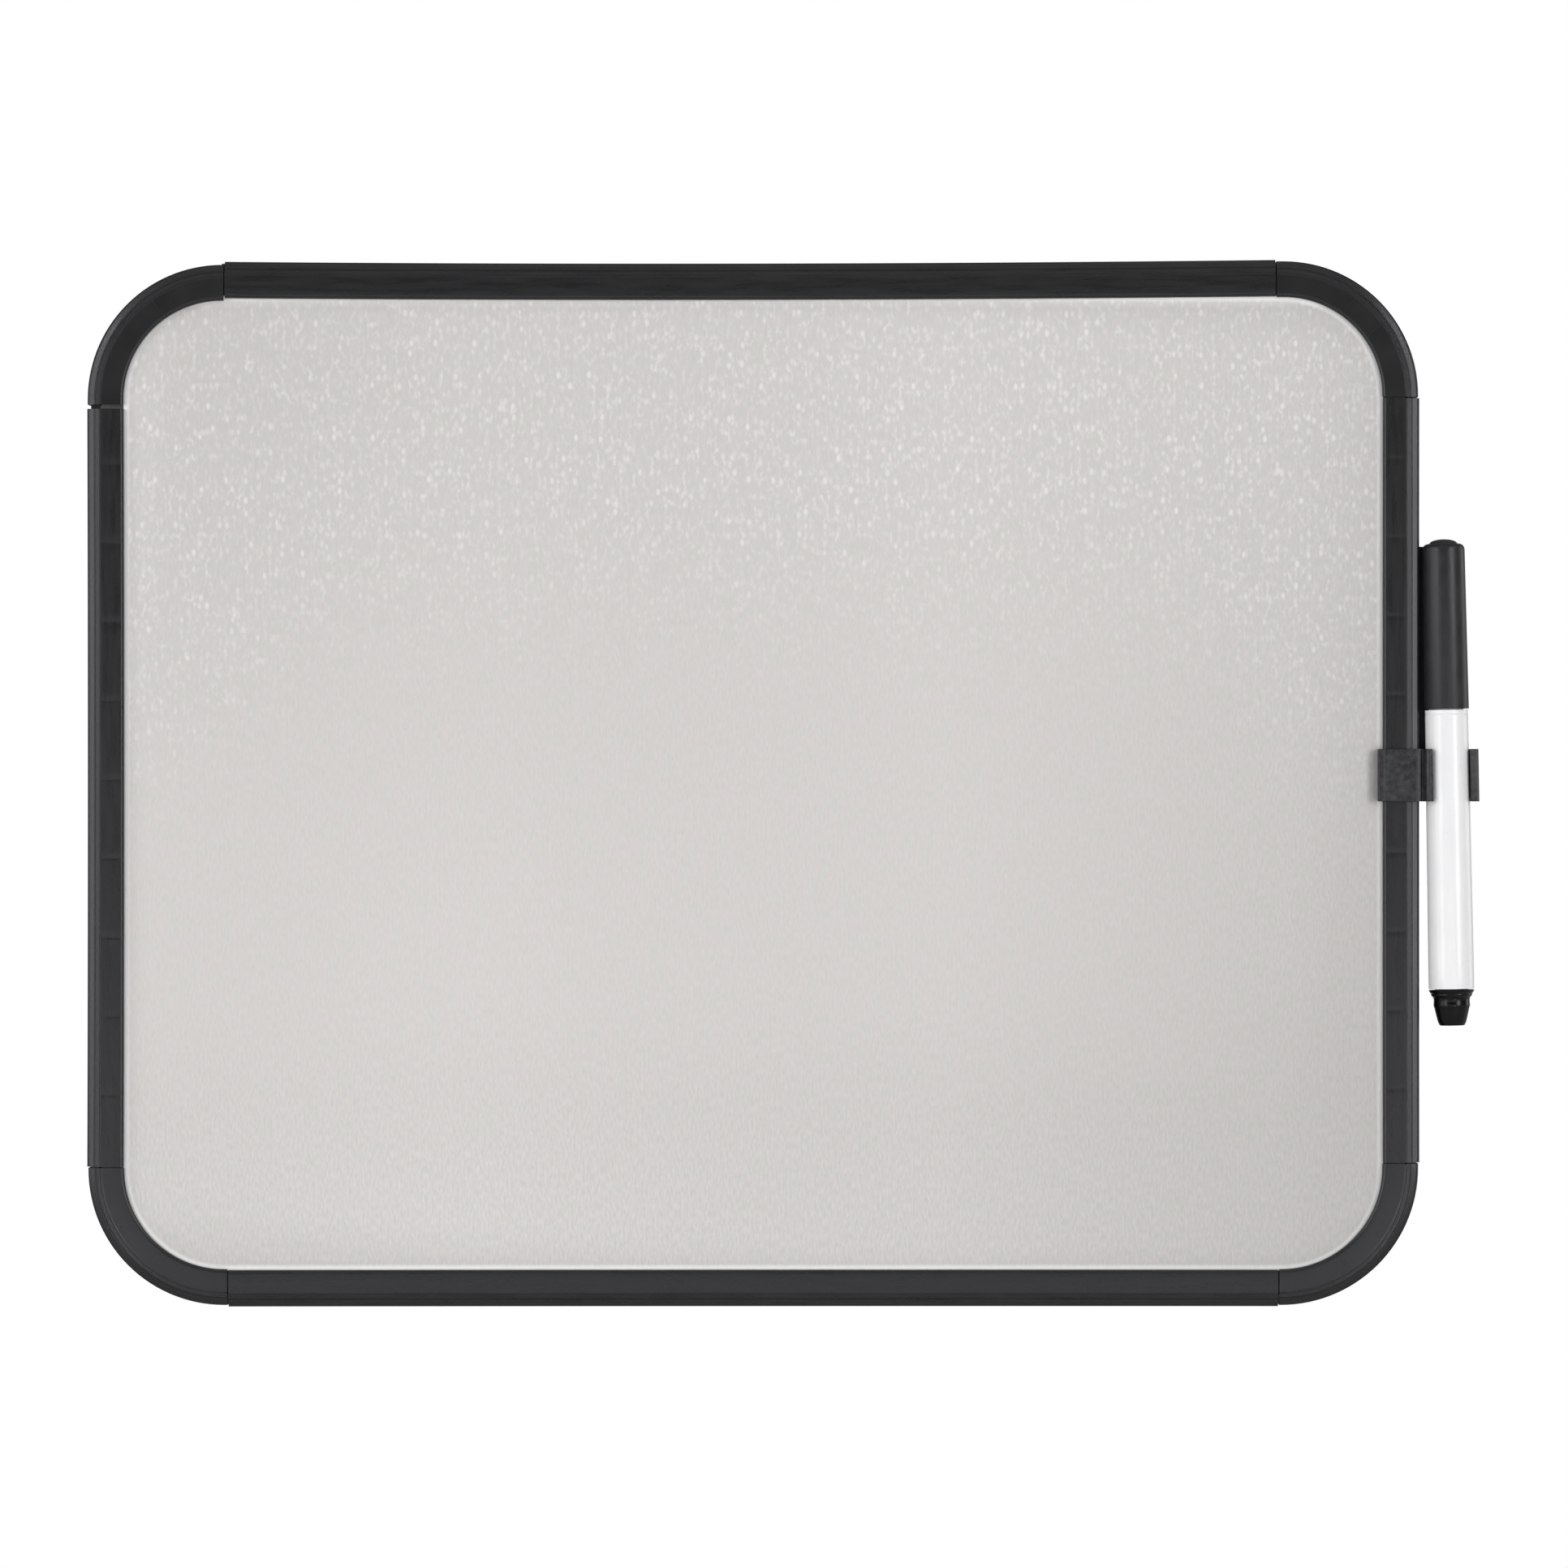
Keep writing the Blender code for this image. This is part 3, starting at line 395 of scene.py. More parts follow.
FIBREBOARD = fibre_or_foam(
    "fibreboard", (0.26, 0.17, 0.10, 1), (0.44, 0.32, 0.21, 1), (3, 3, 0.5), (0.6, 0.6, 0.2), 0.05, 0.9
)
BACKING = fibre_or_foam(
    "grey backing board", grey(0.24, 0.03), grey(0.36, 0.03), (6, 1, 6), (0.5, 1, 0.5), 0.03, 0.82
)
MAGNET = fibre_or_foam(
    "flexible magnet", grey(0.028, 0.05), grey(0.055, 0.05), (30, 2, 0.7), (0.4, 1, 0.4), 0.02, 0.7
)
FOAM = fibre_or_foam(
    "white foam", grey(0.66, 0.02), grey(0.82, 0.01), (1, 1, 1), (0.25, 0.25, 0.25), 0.06, 0.9
)
FELT = fibre_or_foam("inked felt", grey(0.008), grey(0.03), (0.6, 0.6, 1.5), (0.1, 0.1, 0.5), 0.06, 0.95)
print("dull finishes:", [material.name for material in (FIBREBOARD, BACKING, MAGNET, FOAM, FELT)])

# %% White plastic
def white_plastic(name, level, roughness, coat):
    """Glossy white plastic with the long soft waves that drawing out the tube leaves."""
    material, shader, place = new_material(name)
    wave = effect(clouds, place, (2.5, 2.5, 16), Detail=1.0, Low=0.2, High=0.8)
    cloud = effect(clouds, place, (5, 5, 12), Detail=3.0)
    scratch = effect(hairlines, place, (9, 9, 30), Width=0.003)
    clean = (level, level, level * 1.01, 1)
    dull = (level * 0.96, level * 0.965, level * 0.975, 1)
    colour = mixed(product(scratch, 0.3), mixed(cloud, clean, dull), grey(level * 0.7))
    rough = remap(cloud, 0.0, 1.0, roughness, roughness * 1.4)
    feed(shader, Base_Color=colour, Roughness=rough, Normal=bumped(wave, 0.02 * MM))
    feed(shader, Coat_Weight=coat, Coat_Roughness=0.08)
    return material


BARREL_WHITE = white_plastic("gloss white barrel", 0.80, 0.32, 0.35)
SLEEVE_WHITE = white_plastic("white sleeve", 0.74, 0.4, 0.0)
print("white plastics ready")

# %% [markdown]
# ## The frame's section
#
# Rails and corners are mouldings with almost the same section, so the frame is a sweep: an outline carried
# along a path. It is drawn here in metres from the outer edge and from the wall, as a rounded side, a
# shoulder of two slopes with a groove where they meet, a small step up to a flat band, and a slot for the
# sheets. The rails are open inside. The corners are solid but for the slot, with a flatter inner slope and
# a band that reaches a little further in. Three weights go with each point. They say how much the point
# follows when the sweep presses in the cross marks, bows a rail or domes a corner.

# %% Sizes of the section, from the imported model
side_low, side_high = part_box("right_rail")
top_low, top_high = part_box("top_rail")
HALF_WIDTH = side_high.x
HALF_HEIGHT = top_high.z
FACE = top_high.z - top_low.z
REAR = -side_high.y
BAND = -side_low.y
FIT = 0.3 * MM
SLOT_FRONT = -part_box("writing_sheet")[0].y + FIT
SLOT_REAR = -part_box("backing_sheet")[1].y - FIT
SLOT_BOTTOM = HALF_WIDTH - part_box("writing_sheet")[1].x - FIT

SHOULDER_WIDTH = 3.3 * MM
SHOULDER_ROUND = 1.0 * MM
OUTER_SLOPE = math.radians(19)
INNER_SLOPE = math.radians(12.5)
CORNER_SLOPE = math.radians(8)
GROOVE_INSET = 2.0 * MM
GROOVE_HALF_WIDTH = 0.2 * MM
GROOVE_DEPTH = 0.16 * MM
GROOVE_STEPS = ((-1, 0), (-0.3, 0.9), (0.3, 0.9), (1, 0))
CREASE_STEP = 0.18 * MM
RAIL_CREASE, CORNER_CREASE = 0.13 * MM, 0.16 * MM
LIP_DROP, LIP_WIDTH = 0.02 * MM, 0.06 * MM
BAND_START = 4.0 * MM
BAND_CREASE = 3.9 * MM
INNER_ROUND = 1.0 * MM
INNER_EDGE = 0.35 * MM
REAR_ROUND = 0.8 * MM
REAR_LIP_SETBACK = 1.0 * MM
RAIL_WALL = 0.4 * MM
CORNER_RELIEF = 0.4 * MM
CORNER_OVERHANG = 0.24 * MM
CORNER_SINK = 0.16 * MM
print("frame, mm:", [round(length / MM, 2) for length in (FACE, REAR, BAND)])

# %% Draw the section
def arc(centre, radius, start, end, steps):
    """Points on an arc, its ends included, with angles in degrees."""
    angles = [math.radians(start + (end - start) * step / steps) for step in range(steps + 1)]
    return [(centre[0] + radius * math.cos(angle), centre[1] + radius * math.sin(angle)) for angle in angles]


def shoulder_depth(inset, slope=INNER_SLOPE):
    """Depth of the shoulder's two slopes at an inset from the outer edge."""
    depth = BAND - CREASE_STEP - (SHOULDER_WIDTH - max(inset, GROOVE_INSET)) * math.tan(slope)
    return depth - max(GROOVE_INSET - inset, 0) * math.tan(OUTER_SLOPE)


def moulding_section(hollow):
    """The outline as (inset, depth), from the rear round forwards and back through the slot. A rail's is
    hollow, and a corner's is solid and set back a little from the faces of the rails."""
    relief, sink = (0, 0) if hollow else (CORNER_RELIEF, CORNER_SINK)
    slope, step = (INNER_SLOPE, RAIL_CREASE) if hollow else (CORNER_SLOPE, CORNER_CREASE)
    turn = math.pi / 2 - OUTER_SLOPE
    round_end = SHOULDER_ROUND * (1 - math.cos(turn))
    round_start = shoulder_depth(round_end, slope) - SHOULDER_ROUND * math.sin(turn)
    front = arc((SHOULDER_ROUND, round_start), SHOULDER_ROUND, 180, 180 - math.degrees(turn), 8)
    for across, dip in GROOVE_STEPS:
        inset = GROOVE_INSET + across * GROOVE_HALF_WIDTH
        front.append((inset, shoulder_depth(inset, slope) - dip * GROOVE_DEPTH))
    foot = SHOULDER_WIDTH if hollow else SHOULDER_WIDTH - step / 2
    front += [(foot, shoulder_depth(foot, slope)), (foot + step, BAND - LIP_DROP)]
    front += [(foot + step + LIP_WIDTH, BAND), (BAND_START, BAND), ((SHOULDER_WIDTH + FACE) / 2, BAND)]
    points = arc((relief + REAR_ROUND, REAR + REAR_ROUND), REAR_ROUND, 270, 180, 6)
    points += [(inset + relief, depth - sink) for inset, depth in front]
    inner = FACE if hollow else FACE + CORNER_OVERHANG
    drop = BAND - sink - SLOT_FRONT - INNER_EDGE
    for across, up in arc((0, 0), 1, 90, 0, 8):
        points.append((inner - INNER_ROUND * (1 - across), SLOT_FRONT + INNER_EDGE + drop * up))
    points += [(inner, SLOT_FRONT), (SLOT_BOTTOM, SLOT_FRONT)]
    if hollow:
        rear, roof = REAR + RAIL_WALL, shoulder_depth(RAIL_WALL) - RAIL_WALL
        points += [(SLOT_BOTTOM, roof), (RAIL_WALL, roof), (RAIL_WALL, rear), (SLOT_BOTTOM, rear)]
    lip = inner - REAR_LIP_SETBACK
    return points + [(SLOT_BOTTOM, SLOT_REAR), (lip, SLOT_REAR), (lip, REAR)]


def placed(name, data):
    """An object at the origin, linked to the scene."""
    made = bpy.data.objects.new(name, data)
    bpy.context.collection.objects.link(made)
    return made


def section_object(name, points):
    """The outline as a closed loop of edges that carries the weights of its points."""
    mesh = bpy.data.meshes.new(name)
    edges = [(i, (i + 1) % len(points)) for i in range(len(points))]
    mesh.from_pydata([(inset, -depth, 0) for inset, depth in points], edges, [])
    dome_reach = FACE - BAND_CREASE
    weights = {
        "on_band": lambda inset, depth: depth > BAND - 2 * CORNER_SINK and inset > BAND_CREASE,
        "gives": lambda inset, depth: abs(inset - SLOT_BOTTOM) > 0.01 * MM,
        "dome": lambda inset, depth: (depth > SLOT_FRONT) * min(max((FACE - inset) / dome_reach, 0), 1),
        "inset": lambda inset, depth: inset,
    }
    for label, weigh in weights.items():
        values = [float(weigh(inset, depth)) for inset, depth in points]
        mesh.attributes.new(label, "FLOAT", "POINT").data.foreach_set("value", values)
    return placed(name, mesh)


rail_section = section_object("rail section", moulding_section(True))
corner_section = section_object("corner section", moulding_section(False))
TONGUE_LOW, TONGUE_HIGH = 1.0 * MM, SLOT_BOTTOM - 0.15 * MM
tongue_rear = REAR + 2 * FIT
tongue_roof = shoulder_depth(RAIL_WALL) - RAIL_WALL - FIT
tongue_outline = [(TONGUE_LOW, tongue_rear), (TONGUE_LOW, tongue_roof - FIT)]
tongue_outline += [(TONGUE_LOW + FIT, tongue_roof), (TONGUE_HIGH, tongue_roof), (TONGUE_HIGH, tongue_rear)]
tongue_section = section_object("tongue section", tongue_outline)
for part in (rail_section, corner_section, tongue_section):
    print(part.name, len(part.data.vertices), "points")

# %% [markdown]
# ## Sweeping with Geometry Nodes
#
# A Geometry Nodes tree does the sweep, because all eight pieces of the frame follow one rule and differ
# only in their path and a few sizes. The guide mesh holds the path of the body, and on a corner also the
# paths of the two tongues that plug into the rails. The tree turns the paths into curves, sweeps the
# sections along them, moves the points by their weights, unites the body with its tongues and stands the
# result upright. The extrusions aren't perfect on the real board: the top rail is drawn in a little at its
# middle, and the side rails show faint cross marks at an even pitch over the ribs behind them.

# %% The tree
def swept_moulding():
    """The node tree that makes one rail or corner from its guide."""
    tree = bpy.data.node_groups.new("Swept moulding", "GeometryNodeTree")
    tree.is_modifier = True
    lengths = {
        "Start Drop": 0.0, "Bow": 0.0, "Dome": 0.0, "Mark Pitch": 20 * MM, "Mark Reach": 0.0,
        "Mark Half Width": 0.5 * MM, "Mark Depth": 0.0,
    }
    sockets = [("Guide", "Geometry", None), ("Section", "Object", None), ("Tongue Section", "Object", None)]
    sockets += [("Inward", "Vector", ORIGIN)] + [(label, "Float", value) for label, value in lengths.items()]
    for label, kind, value in sockets + [("Material", "Material", None)]:
        socket = tree.interface.new_socket(name=label, in_out="INPUT", socket_type="NodeSocket" + kind)
        if value is not None:
            socket.default_value = value
    tree.interface.new_socket(name="Moulding", in_out="OUTPUT", socket_type="NodeSocketGeometry")
    given = tree.nodes.new("NodeGroupInput").outputs

    def weight(label):
        """A value that the points carry under a name."""
        named = {"Name": label}
        return node(tree, "GeometryNodeInputNamedAttribute", named, data_type="FLOAT").outputs["Attribute"]

    def sweep(path, section):
        """The outline of a section object, carried along a path and closed at its ends."""
        curve = node(tree, "GeometryNodeMeshToCurve", {0: path}).outputs[0]
        curve = node(tree, "GeometryNodeSetCurveNormal", {0: curve}, mode="Z_UP").outputs[0]
        outline = node(tree, "GeometryNodeObjectInfo", {"Object": section}).outputs["Geometry"]
        profile = node(tree, "GeometryNodeMeshToCurve", {0: outline}).outputs[0]
        inputs = {"Curve": curve, "Profile Curve": profile, "Fill Caps": True}
        return node(tree, "GeometryNodeCurveToMesh", inputs).outputs[0]

    paths = node(tree, "GeometryNodeSeparateGeometry", {0: given["Guide"], 1: weight("tongue")}).outputs
    tongues = sweep(paths[0], given["Tongue Section"])
    body = sweep(paths[1], given["Section"])

    share = weight("share")
    rest = calc("SUBTRACT", 1.0, share)
    hump = product(share, rest, 4.0)
    bow = calc("ADD", product(given["Start Drop"], rest), product(given["Bow"], hump))
    drawn = {0: given["Inward"], "Scale": product(bow, weight("gives"))}
    inward = node(tree, "ShaderNodeVectorMath", drawn, operation="SCALE").outputs[0]

    along = weight("along")
    away = calc("PINGPONG", along, product(given["Mark Pitch"], 0.5))
    notch = remap(away, 0.0, given["Mark Half Width"], given["Mark Depth"], 0.0)
    near = calc("LESS_THAN", calc("ABSOLUTE", along), given["Mark Reach"])
    notch = product(notch, near, weight("on_band"))
    dome = product(given["Dome"], hump, weight("dome"))
    sunk = product(calc("ADD", notch, dome), -1.0)
    back = node(tree, "ShaderNodeCombineXYZ", {2: sunk}).outputs[0]
    offset = node(tree, "ShaderNodeVectorMath", {0: inward, 1: back}, operation="ADD").outputs[0]
    body = node(tree, "GeometryNodeSetPosition", {0: body, "Offset": offset}).outputs[0]

    union = node(tree, "GeometryNodeMeshBoolean", operation="UNION", solver="EXACT")
    for part in (body, tongues):
        tree.links.new(part, union.inputs["Mesh 2"])
    count = node(tree, "GeometryNodeAttributeDomainSize", {0: tongues}).outputs[0]
    some = node(tree, "FunctionNodeCompare", {2: count, 3: 0}, data_type="INT", operation="GREATER_THAN")
    pick = {"Switch": some.outputs[0], "False": body, "True": union.outputs[0]}
    whole = node(tree, "GeometryNodeSwitch", pick, input_type="GEOMETRY").outputs[0]
    upright = {"Geometry": whole, "Rotation": (math.pi / 2, 0, 0)}
    whole = node(tree, "GeometryNodeTransform", upright).outputs[0]
    whole = node(tree, "GeometryNodeRealizeInstances", {0: whole}).outputs[0]
    whole = node(tree, "GeometryNodeSetMaterial", {0: whole, "Material": given["Material"]}).outputs[0]
    node(tree, "NodeGroupOutput", {0: whole})
    return tree


MOULDING = swept_moulding()
print("tree:", MOULDING.name, "with", len(MOULDING.nodes), "nodes")

# %% Guides and the plain mesh at the end
SMOOTH_ANGLE = math.radians(27)
FRAME_STEP = 3.0 * MM


def finish_mesh(mesh, name, body, node_name):
    bm = bmesh.new()
    bm.from_mesh(mesh)
    bmesh.ops.recalc_face_normals(bm, faces=bm.faces)
    bm.to_mesh(mesh)
    bm.free()
    mesh.shade_smooth()
    mesh.set_sharp_from_angle(angle=SMOOTH_ANGLE)
    piece = placed(name, mesh)
    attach(piece, body)
    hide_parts(node_name)
    print(name, len(mesh.polygons), "faces")


def guide_object(name, chains):
    """A mesh of open chains of (x, z, along, share, tongue) points. tongue is 1 on the path of a tongue."""
    points = []
    edges = []
    for chain in chains:
        edges += [(len(points) + i, len(points) + i + 1) for i in range(len(chain) - 1)]
        points += chain
    mesh = bpy.data.meshes.new(name)
    mesh.from_pydata([(x, z, 0) for x, z, *values in points], edges, [])
    for index, label in ((2, "along"), (3, "share"), (4, "tongue")):
        values = [point[index] for point in points]
        mesh.attributes.new(label, "FLOAT", "POINT").data.foreach_set("value", values)
    return placed(name, mesh)


def moulded(name, node_name, chains, section, **sizes):
    """Run the tree on a guide and keep its result as a plain mesh."""
    guide = guide_object(name + " guide", chains)
    modifier = guide.modifiers.new("moulding", "NODES")
    modifier.node_group = MOULDING
    values = {"Section": section, "Tongue Section": tongue_section, "Material": FRAME_BLACK}
    values.update({key.replace("_", " "): value for key, value in sizes.items()})
    for item in MOULDING.interface.items_tree:
        if item.in_out == "INPUT" and item.name in values:
            modifier[item.identifier] = values[item.name]
    graph = bpy.context.evaluated_depsgraph_get()
    mesh = bpy.data.meshes.new_from_object(guide.evaluated_get(graph), depsgraph=graph)
    bpy.data.objects.remove(guide)
    finish_mesh(mesh, name, "board", node_name)


# %% [markdown]
# ## Rails and corners
#
# The seams aren't quite where a drawing would put them. On the real board each corner piece sits a little
# deeper or shallower on its rails, the left rail is a millimetre short at its top, and the top left corner
# has slipped down. Those small errors make the frame look assembled by hand, so they are named here.

# %% Where the seams are
SEAM = 0.35 * MM
# Each corner: x of its seam with the top or bottom rail, z of its seam with the side rail, that seam's width
SEAMS = {
    ("top", "left"): (-141.2 * MM, 100.5 * MM, 1.15 * MM),
    ("top", "right"): (139.5 * MM, 102.95 * MM, SEAM),
    ("bottom", "left"): (-140.2 * MM, -102.5 * MM, SEAM),
    ("bottom", "right"): (140.2 * MM, -101.35 * MM, SEAM),
}
# How far each corner has slipped along x and z
SLIPS = {
    ("top", "left"): (-0.3 * MM, -0.9 * MM),
    ("top", "right"): (0.1 * MM, 0.05 * MM),
    ("bottom", "left"): (-0.1 * MM, 0.0),
    ("bottom", "right"): (0.1 * MM, 0.0),
}
COLLAR = 0.4 * MM
TONGUE_LENGTH = 12.0 * MM
TONGUE_ROOT = 0.5 * MM
CORNER_STEPS = 30
CORNER_DOME = 0.3 * MM
MARK_PITCH = 21.0 * MM
MARKS_EACH_WAY = 4
MARK_HALF_WIDTH = 0.45 * MM
MARK_DEPTH = 0.05 * MM

# %% Rails
def rail_chain(start, stop, place, marks, shift):
    """Stations along a rail, closer together at the marks, which are counted from a shifted middle."""
    low, high = min(start, stop), max(start, stop)
    count = round((high - low) / FRAME_STEP)
    stations = {low + (high - low) * step / count for step in range(count + 1)}
    for index in range(-marks, marks + 1):
        for across in (-1, 0, 1):
            if marks:
                stations.add(shift + index * MARK_PITCH + across * MARK_HALF_WIDTH)
    ordered = sorted(stations, reverse=stop < start)
    return [(*place(at), at - shift, (at - start) / (stop - start), 0.0) for at in ordered]


def build_rail(name, start, stop, place, inward, marks=0, shift=0.0, **sizes):
    """A rail that runs clockwise, seen from the front; inward points to the board's middle."""
    chain = rail_chain(start, stop, place, marks, shift)
    reach = (marks + 0.5) * MARK_PITCH * bool(marks)
    moulded(
        name + "_moulding", name, [chain], rail_section, Inward=inward, Mark_Pitch=MARK_PITCH,
        Mark_Reach=reach, Mark_Half_Width=MARK_HALF_WIDTH, Mark_Depth=MARK_DEPTH, **sizes
    )


def stop_x(row, side):
    """Where a top or bottom rail ends, on one side: -1 is left and 1 is right."""
    return SEAMS[row, "right" if side > 0 else "left"][0] - side * SEAM / 2


def stop_z(end, column):
    """Where a side rail ends, at one end: -1 is the foot and 1 is the top."""
    seam_x, seam_z, gap = SEAMS["top" if end > 0 else "bottom", column]
    return seam_z - end * gap / 2


build_rail(
    "top_rail", stop_x("top", -1), stop_x("top", 1), lambda x: (x, HALF_HEIGHT), (0, -1, 0),
    Start_Drop=0.5 * MM, Bow=0.7 * MM
)
build_rail(
    "bottom_rail", stop_x("bottom", 1), stop_x("bottom", -1), lambda x: (x, -HALF_HEIGHT), (0, 1, 0),
    Start_Drop=0.1 * MM, Bow=0.06 * MM
)
build_rail(
    "right_rail", stop_z(1, "right"), stop_z(-1, "right"), lambda z: (HALF_WIDTH, z), (-1, 0, 0),
    marks=MARKS_EACH_WAY, shift=2.5 * MM, Bow=0.05 * MM
)
build_rail(
    "left_rail", stop_z(-1, "left"), stop_z(1, "left"), lambda z: (-HALF_WIDTH, z), (1, 0, 0),
    marks=MARKS_EACH_WAY, shift=0.9 * MM, Bow=0.15 * MM
)

# %% Corners
def build_corner(row, column):
    """A quarter turn with a straight collar and a tongue at each end, clockwise seen from the front."""
    side = 1 if column == "right" else -1
    end = 1 if row == "top" else -1
    seam_x, seam_z, gap = SEAMS[row, column]
    slip_x, slip_z = SLIPS[row, column]
    leg_x = HALF_WIDTH + side * slip_x - abs(seam_x) - SEAM / 2
    leg_z = HALF_HEIGHT + end * slip_z - abs(seam_z) - gap / 2
    radius = min(leg_x, leg_z) - COLLAR
    centre = Vector((side * (HALF_WIDTH - radius) + slip_x, end * (HALF_HEIGHT - radius) + slip_z))
    turn = {(-1, 1): 180, (1, 1): 90, (1, -1): 0, (-1, -1): -90}[side, end]
    collars = (leg_z - radius, leg_x - radius) if side * end < 0 else (leg_x - radius, leg_z - radius)

    def heading(angle):
        """The way forwards along the path, where the turn has come to an angle."""
        return Vector((math.sin(math.radians(angle)), -math.cos(math.radians(angle))))

    curve = [centre + Vector(point) for point in arc((0, 0), radius, turn, turn - 90, CORNER_STEPS)]
    start = curve[0] - heading(turn) * collars[0]
    stop = curve[-1] + heading(turn - 90) * collars[1]
    path = [start] + curve + [stop]
    lengths = [0.0]
    for first, second in zip(path, path[1:]):
        lengths.append(lengths[-1] + (second - first).length)
    chains = [[(*point, length, length / lengths[-1], 0.0) for point, length in zip(path, lengths)]]
    for root, angle, way in ((start, turn, -1), (stop, turn - 90, 1)):
        across = Vector((math.cos(math.radians(angle)), math.sin(math.radians(angle))))
        outer = HALF_WIDTH if abs(across.x) > abs(across.y) else HALF_HEIGHT
        root = root + across * (outer - abs(root.dot(across)))
        ends = [root - heading(angle) * TONGUE_ROOT * way, root + heading(angle) * TONGUE_LENGTH * way]
        chains.append([(*point, 0.0, 0.0, 1.0) for point in ends[::way]])
    name = row + "_" + column + "_corner"
    moulded(name + "_moulding", name, chains, corner_section, Dome=CORNER_DOME)


for row in ("top", "bottom"):
    for column in ("left", "right"):
        build_corner(row, column)
for section in (rail_section, corner_section, tongue_section):
    bpy.data.objects.remove(section)

# %% [markdown]
# ## Sheets, magnets and pads
#
# Everything in the frame's slot is cut from sheet, with rounded corners that clear the frame, and the
# magnets and pads on the back are small plates of the same kind. One function makes a plate from the box of
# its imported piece: a rounded outline, repeated at a few depths so that the rims are rounded over.

# %% Plates
def mesh_from(bm, name, material):
    """A mesh with one material from a BMesh, which is freed."""
    mesh = bpy.data.meshes.new(name)
    bm.to_mesh(mesh)
    bm.free()
    mesh.materials.append(material)
    return mesh


def rounded_outline(centre, half_width, half_height, radius, steps):
    """Points round a rounded rectangle in X and Z."""
    points = []
    for start, side, end in ((0, 1, 1), (90, -1, 1), (180, -1, -1), (270, 1, -1)):
        middle = (centre[0] + side * (half_width - radius), centre[1] + end * (half_height - radius))
        points += arc(middle, radius, start, start + 90, steps)
    return points


def plate(name, node_name, radius, rim, material, steps):
    """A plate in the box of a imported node, with corners of a radius and rims rounded over."""
    low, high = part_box(node_name)
    centre = ((low.x + high.x) / 2, (low.z + high.z) / 2)
    half_width, half_height = (high.x - low.x) / 2, (high.z - low.z) / 2
    levels = [(rim, low.y), (rim * 0.3, low.y + rim * 0.3), (0, low.y + rim)]
    levels += [(0, high.y - rim), (rim * 0.3, high.y - rim * 0.3), (rim, high.y)]
    bm = bmesh.new()
    loops = []
    for inset, y in levels:
        outline = rounded_outline(centre, half_width - inset, half_height - inset, radius - inset, steps)
        loops.append([bm.verts.new((x, y, z)) for x, z in outline])
    for first, second in zip(loops, loops[1:]):
        for i in range(len(first)):
            j = (i + 1) % len(first)
            bm.faces.new((first[i], first[j], second[j], second[i]))
    bm.faces.new(loops[0])
    bm.faces.new(loops[-1])
    finish_mesh(mesh_from(bm, name, material), name, "board", node_name)


SHEET_RADIUS = 33.0 * MM
plate("steel_face", "writing_sheet", SHEET_RADIUS, 0.05 * MM, STEEL, 32)
plate("fibreboard_core", "core_board", SHEET_RADIUS, 0.1 * MM, FIBREBOARD, 32)
plate("grey_back", "backing_sheet", SHEET_RADIUS, 0.08 * MM, BACKING, 32)
for row in ("top", "bottom"):
    for column in ("left", "right"):
        where = row + "_" + column
        plate("bar_magnet_" + where, "magnet_" + where, 1.5 * MM, 0.3 * MM, MAGNET, 6)
        plate("foam_pad_" + where, "pad_" + where, 1.5 * MM, 0.15 * MM, FOAM, 6)

# %% [markdown]
# ## The marker
#
# Every piece of the marker is turned about one axis, so each is drawn as half a section, in millimetres
# from the tip of the end plug, and spun. The axis comes from the joint that lets the marker slide. It leans
# a little, so the pieces are drawn upright and then set on it. Fine bevels on the hard edges give each its
# thin highlight.

# %% The axis
slide = next(joint for joint in frame["record"]["behaviour"]["joints"] if joint["name"] == "marker_slide")
UPWARD = Vector(slide["axis"]).normalized()


def corners_of(name):
    """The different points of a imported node's mesh."""
    points = {tuple(round(value, 6) for value in vert.co) for vert in frame["nodes"][name].data.vertices}
    return [Vector(point) for point in points]


barrel_points = corners_of("marker_barrel")
middle = sum(barrel_points, Vector()) / len(barrel_points)
tip = min((point - middle).dot(UPWARD) for point in corners_of("end_plug"))
foot = middle + UPWARD * tip
sideways = (Vector((1, 0, 0)) - UPWARD * UPWARD.x).normalized()
AXIS = Matrix.Translation(foot) @ Matrix((sideways, UPWARD.cross(sideways), UPWARD)).transposed().to_4x4()


def reach_of(name):
    """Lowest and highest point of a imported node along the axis, in millimetres from the plug's tip."""
    heights = [(point - foot).dot(UPWARD) / MM for point in corners_of(name)]
    return min(heights), max(heights)


CAP_RIM, MARKER_TOP = reach_of("marker_cap")
BARREL_FOOT, NECK_END = reach_of("marker_barrel")
BARREL_SHOULDER = CAP_RIM - 0.3
print("marker, mm:", round(MARKER_TOP, 2), "long, cap from", round(CAP_RIM, 2))

# %% Spin a section
TURN_STEPS = 96


def round_edges(bm, angle, width, segments):
    """Bevel the edges that turn by more than an angle in degrees."""
    hard = [edge for edge in bm.edges if edge.calc_face_angle(0) > math.radians(angle)]
    shape = {"segments": segments, "profile": 0.5, "affect": "EDGES", "clamp_overlap": True}
    bmesh.ops.bevel(bm, geom=hard, offset=width, **shape)


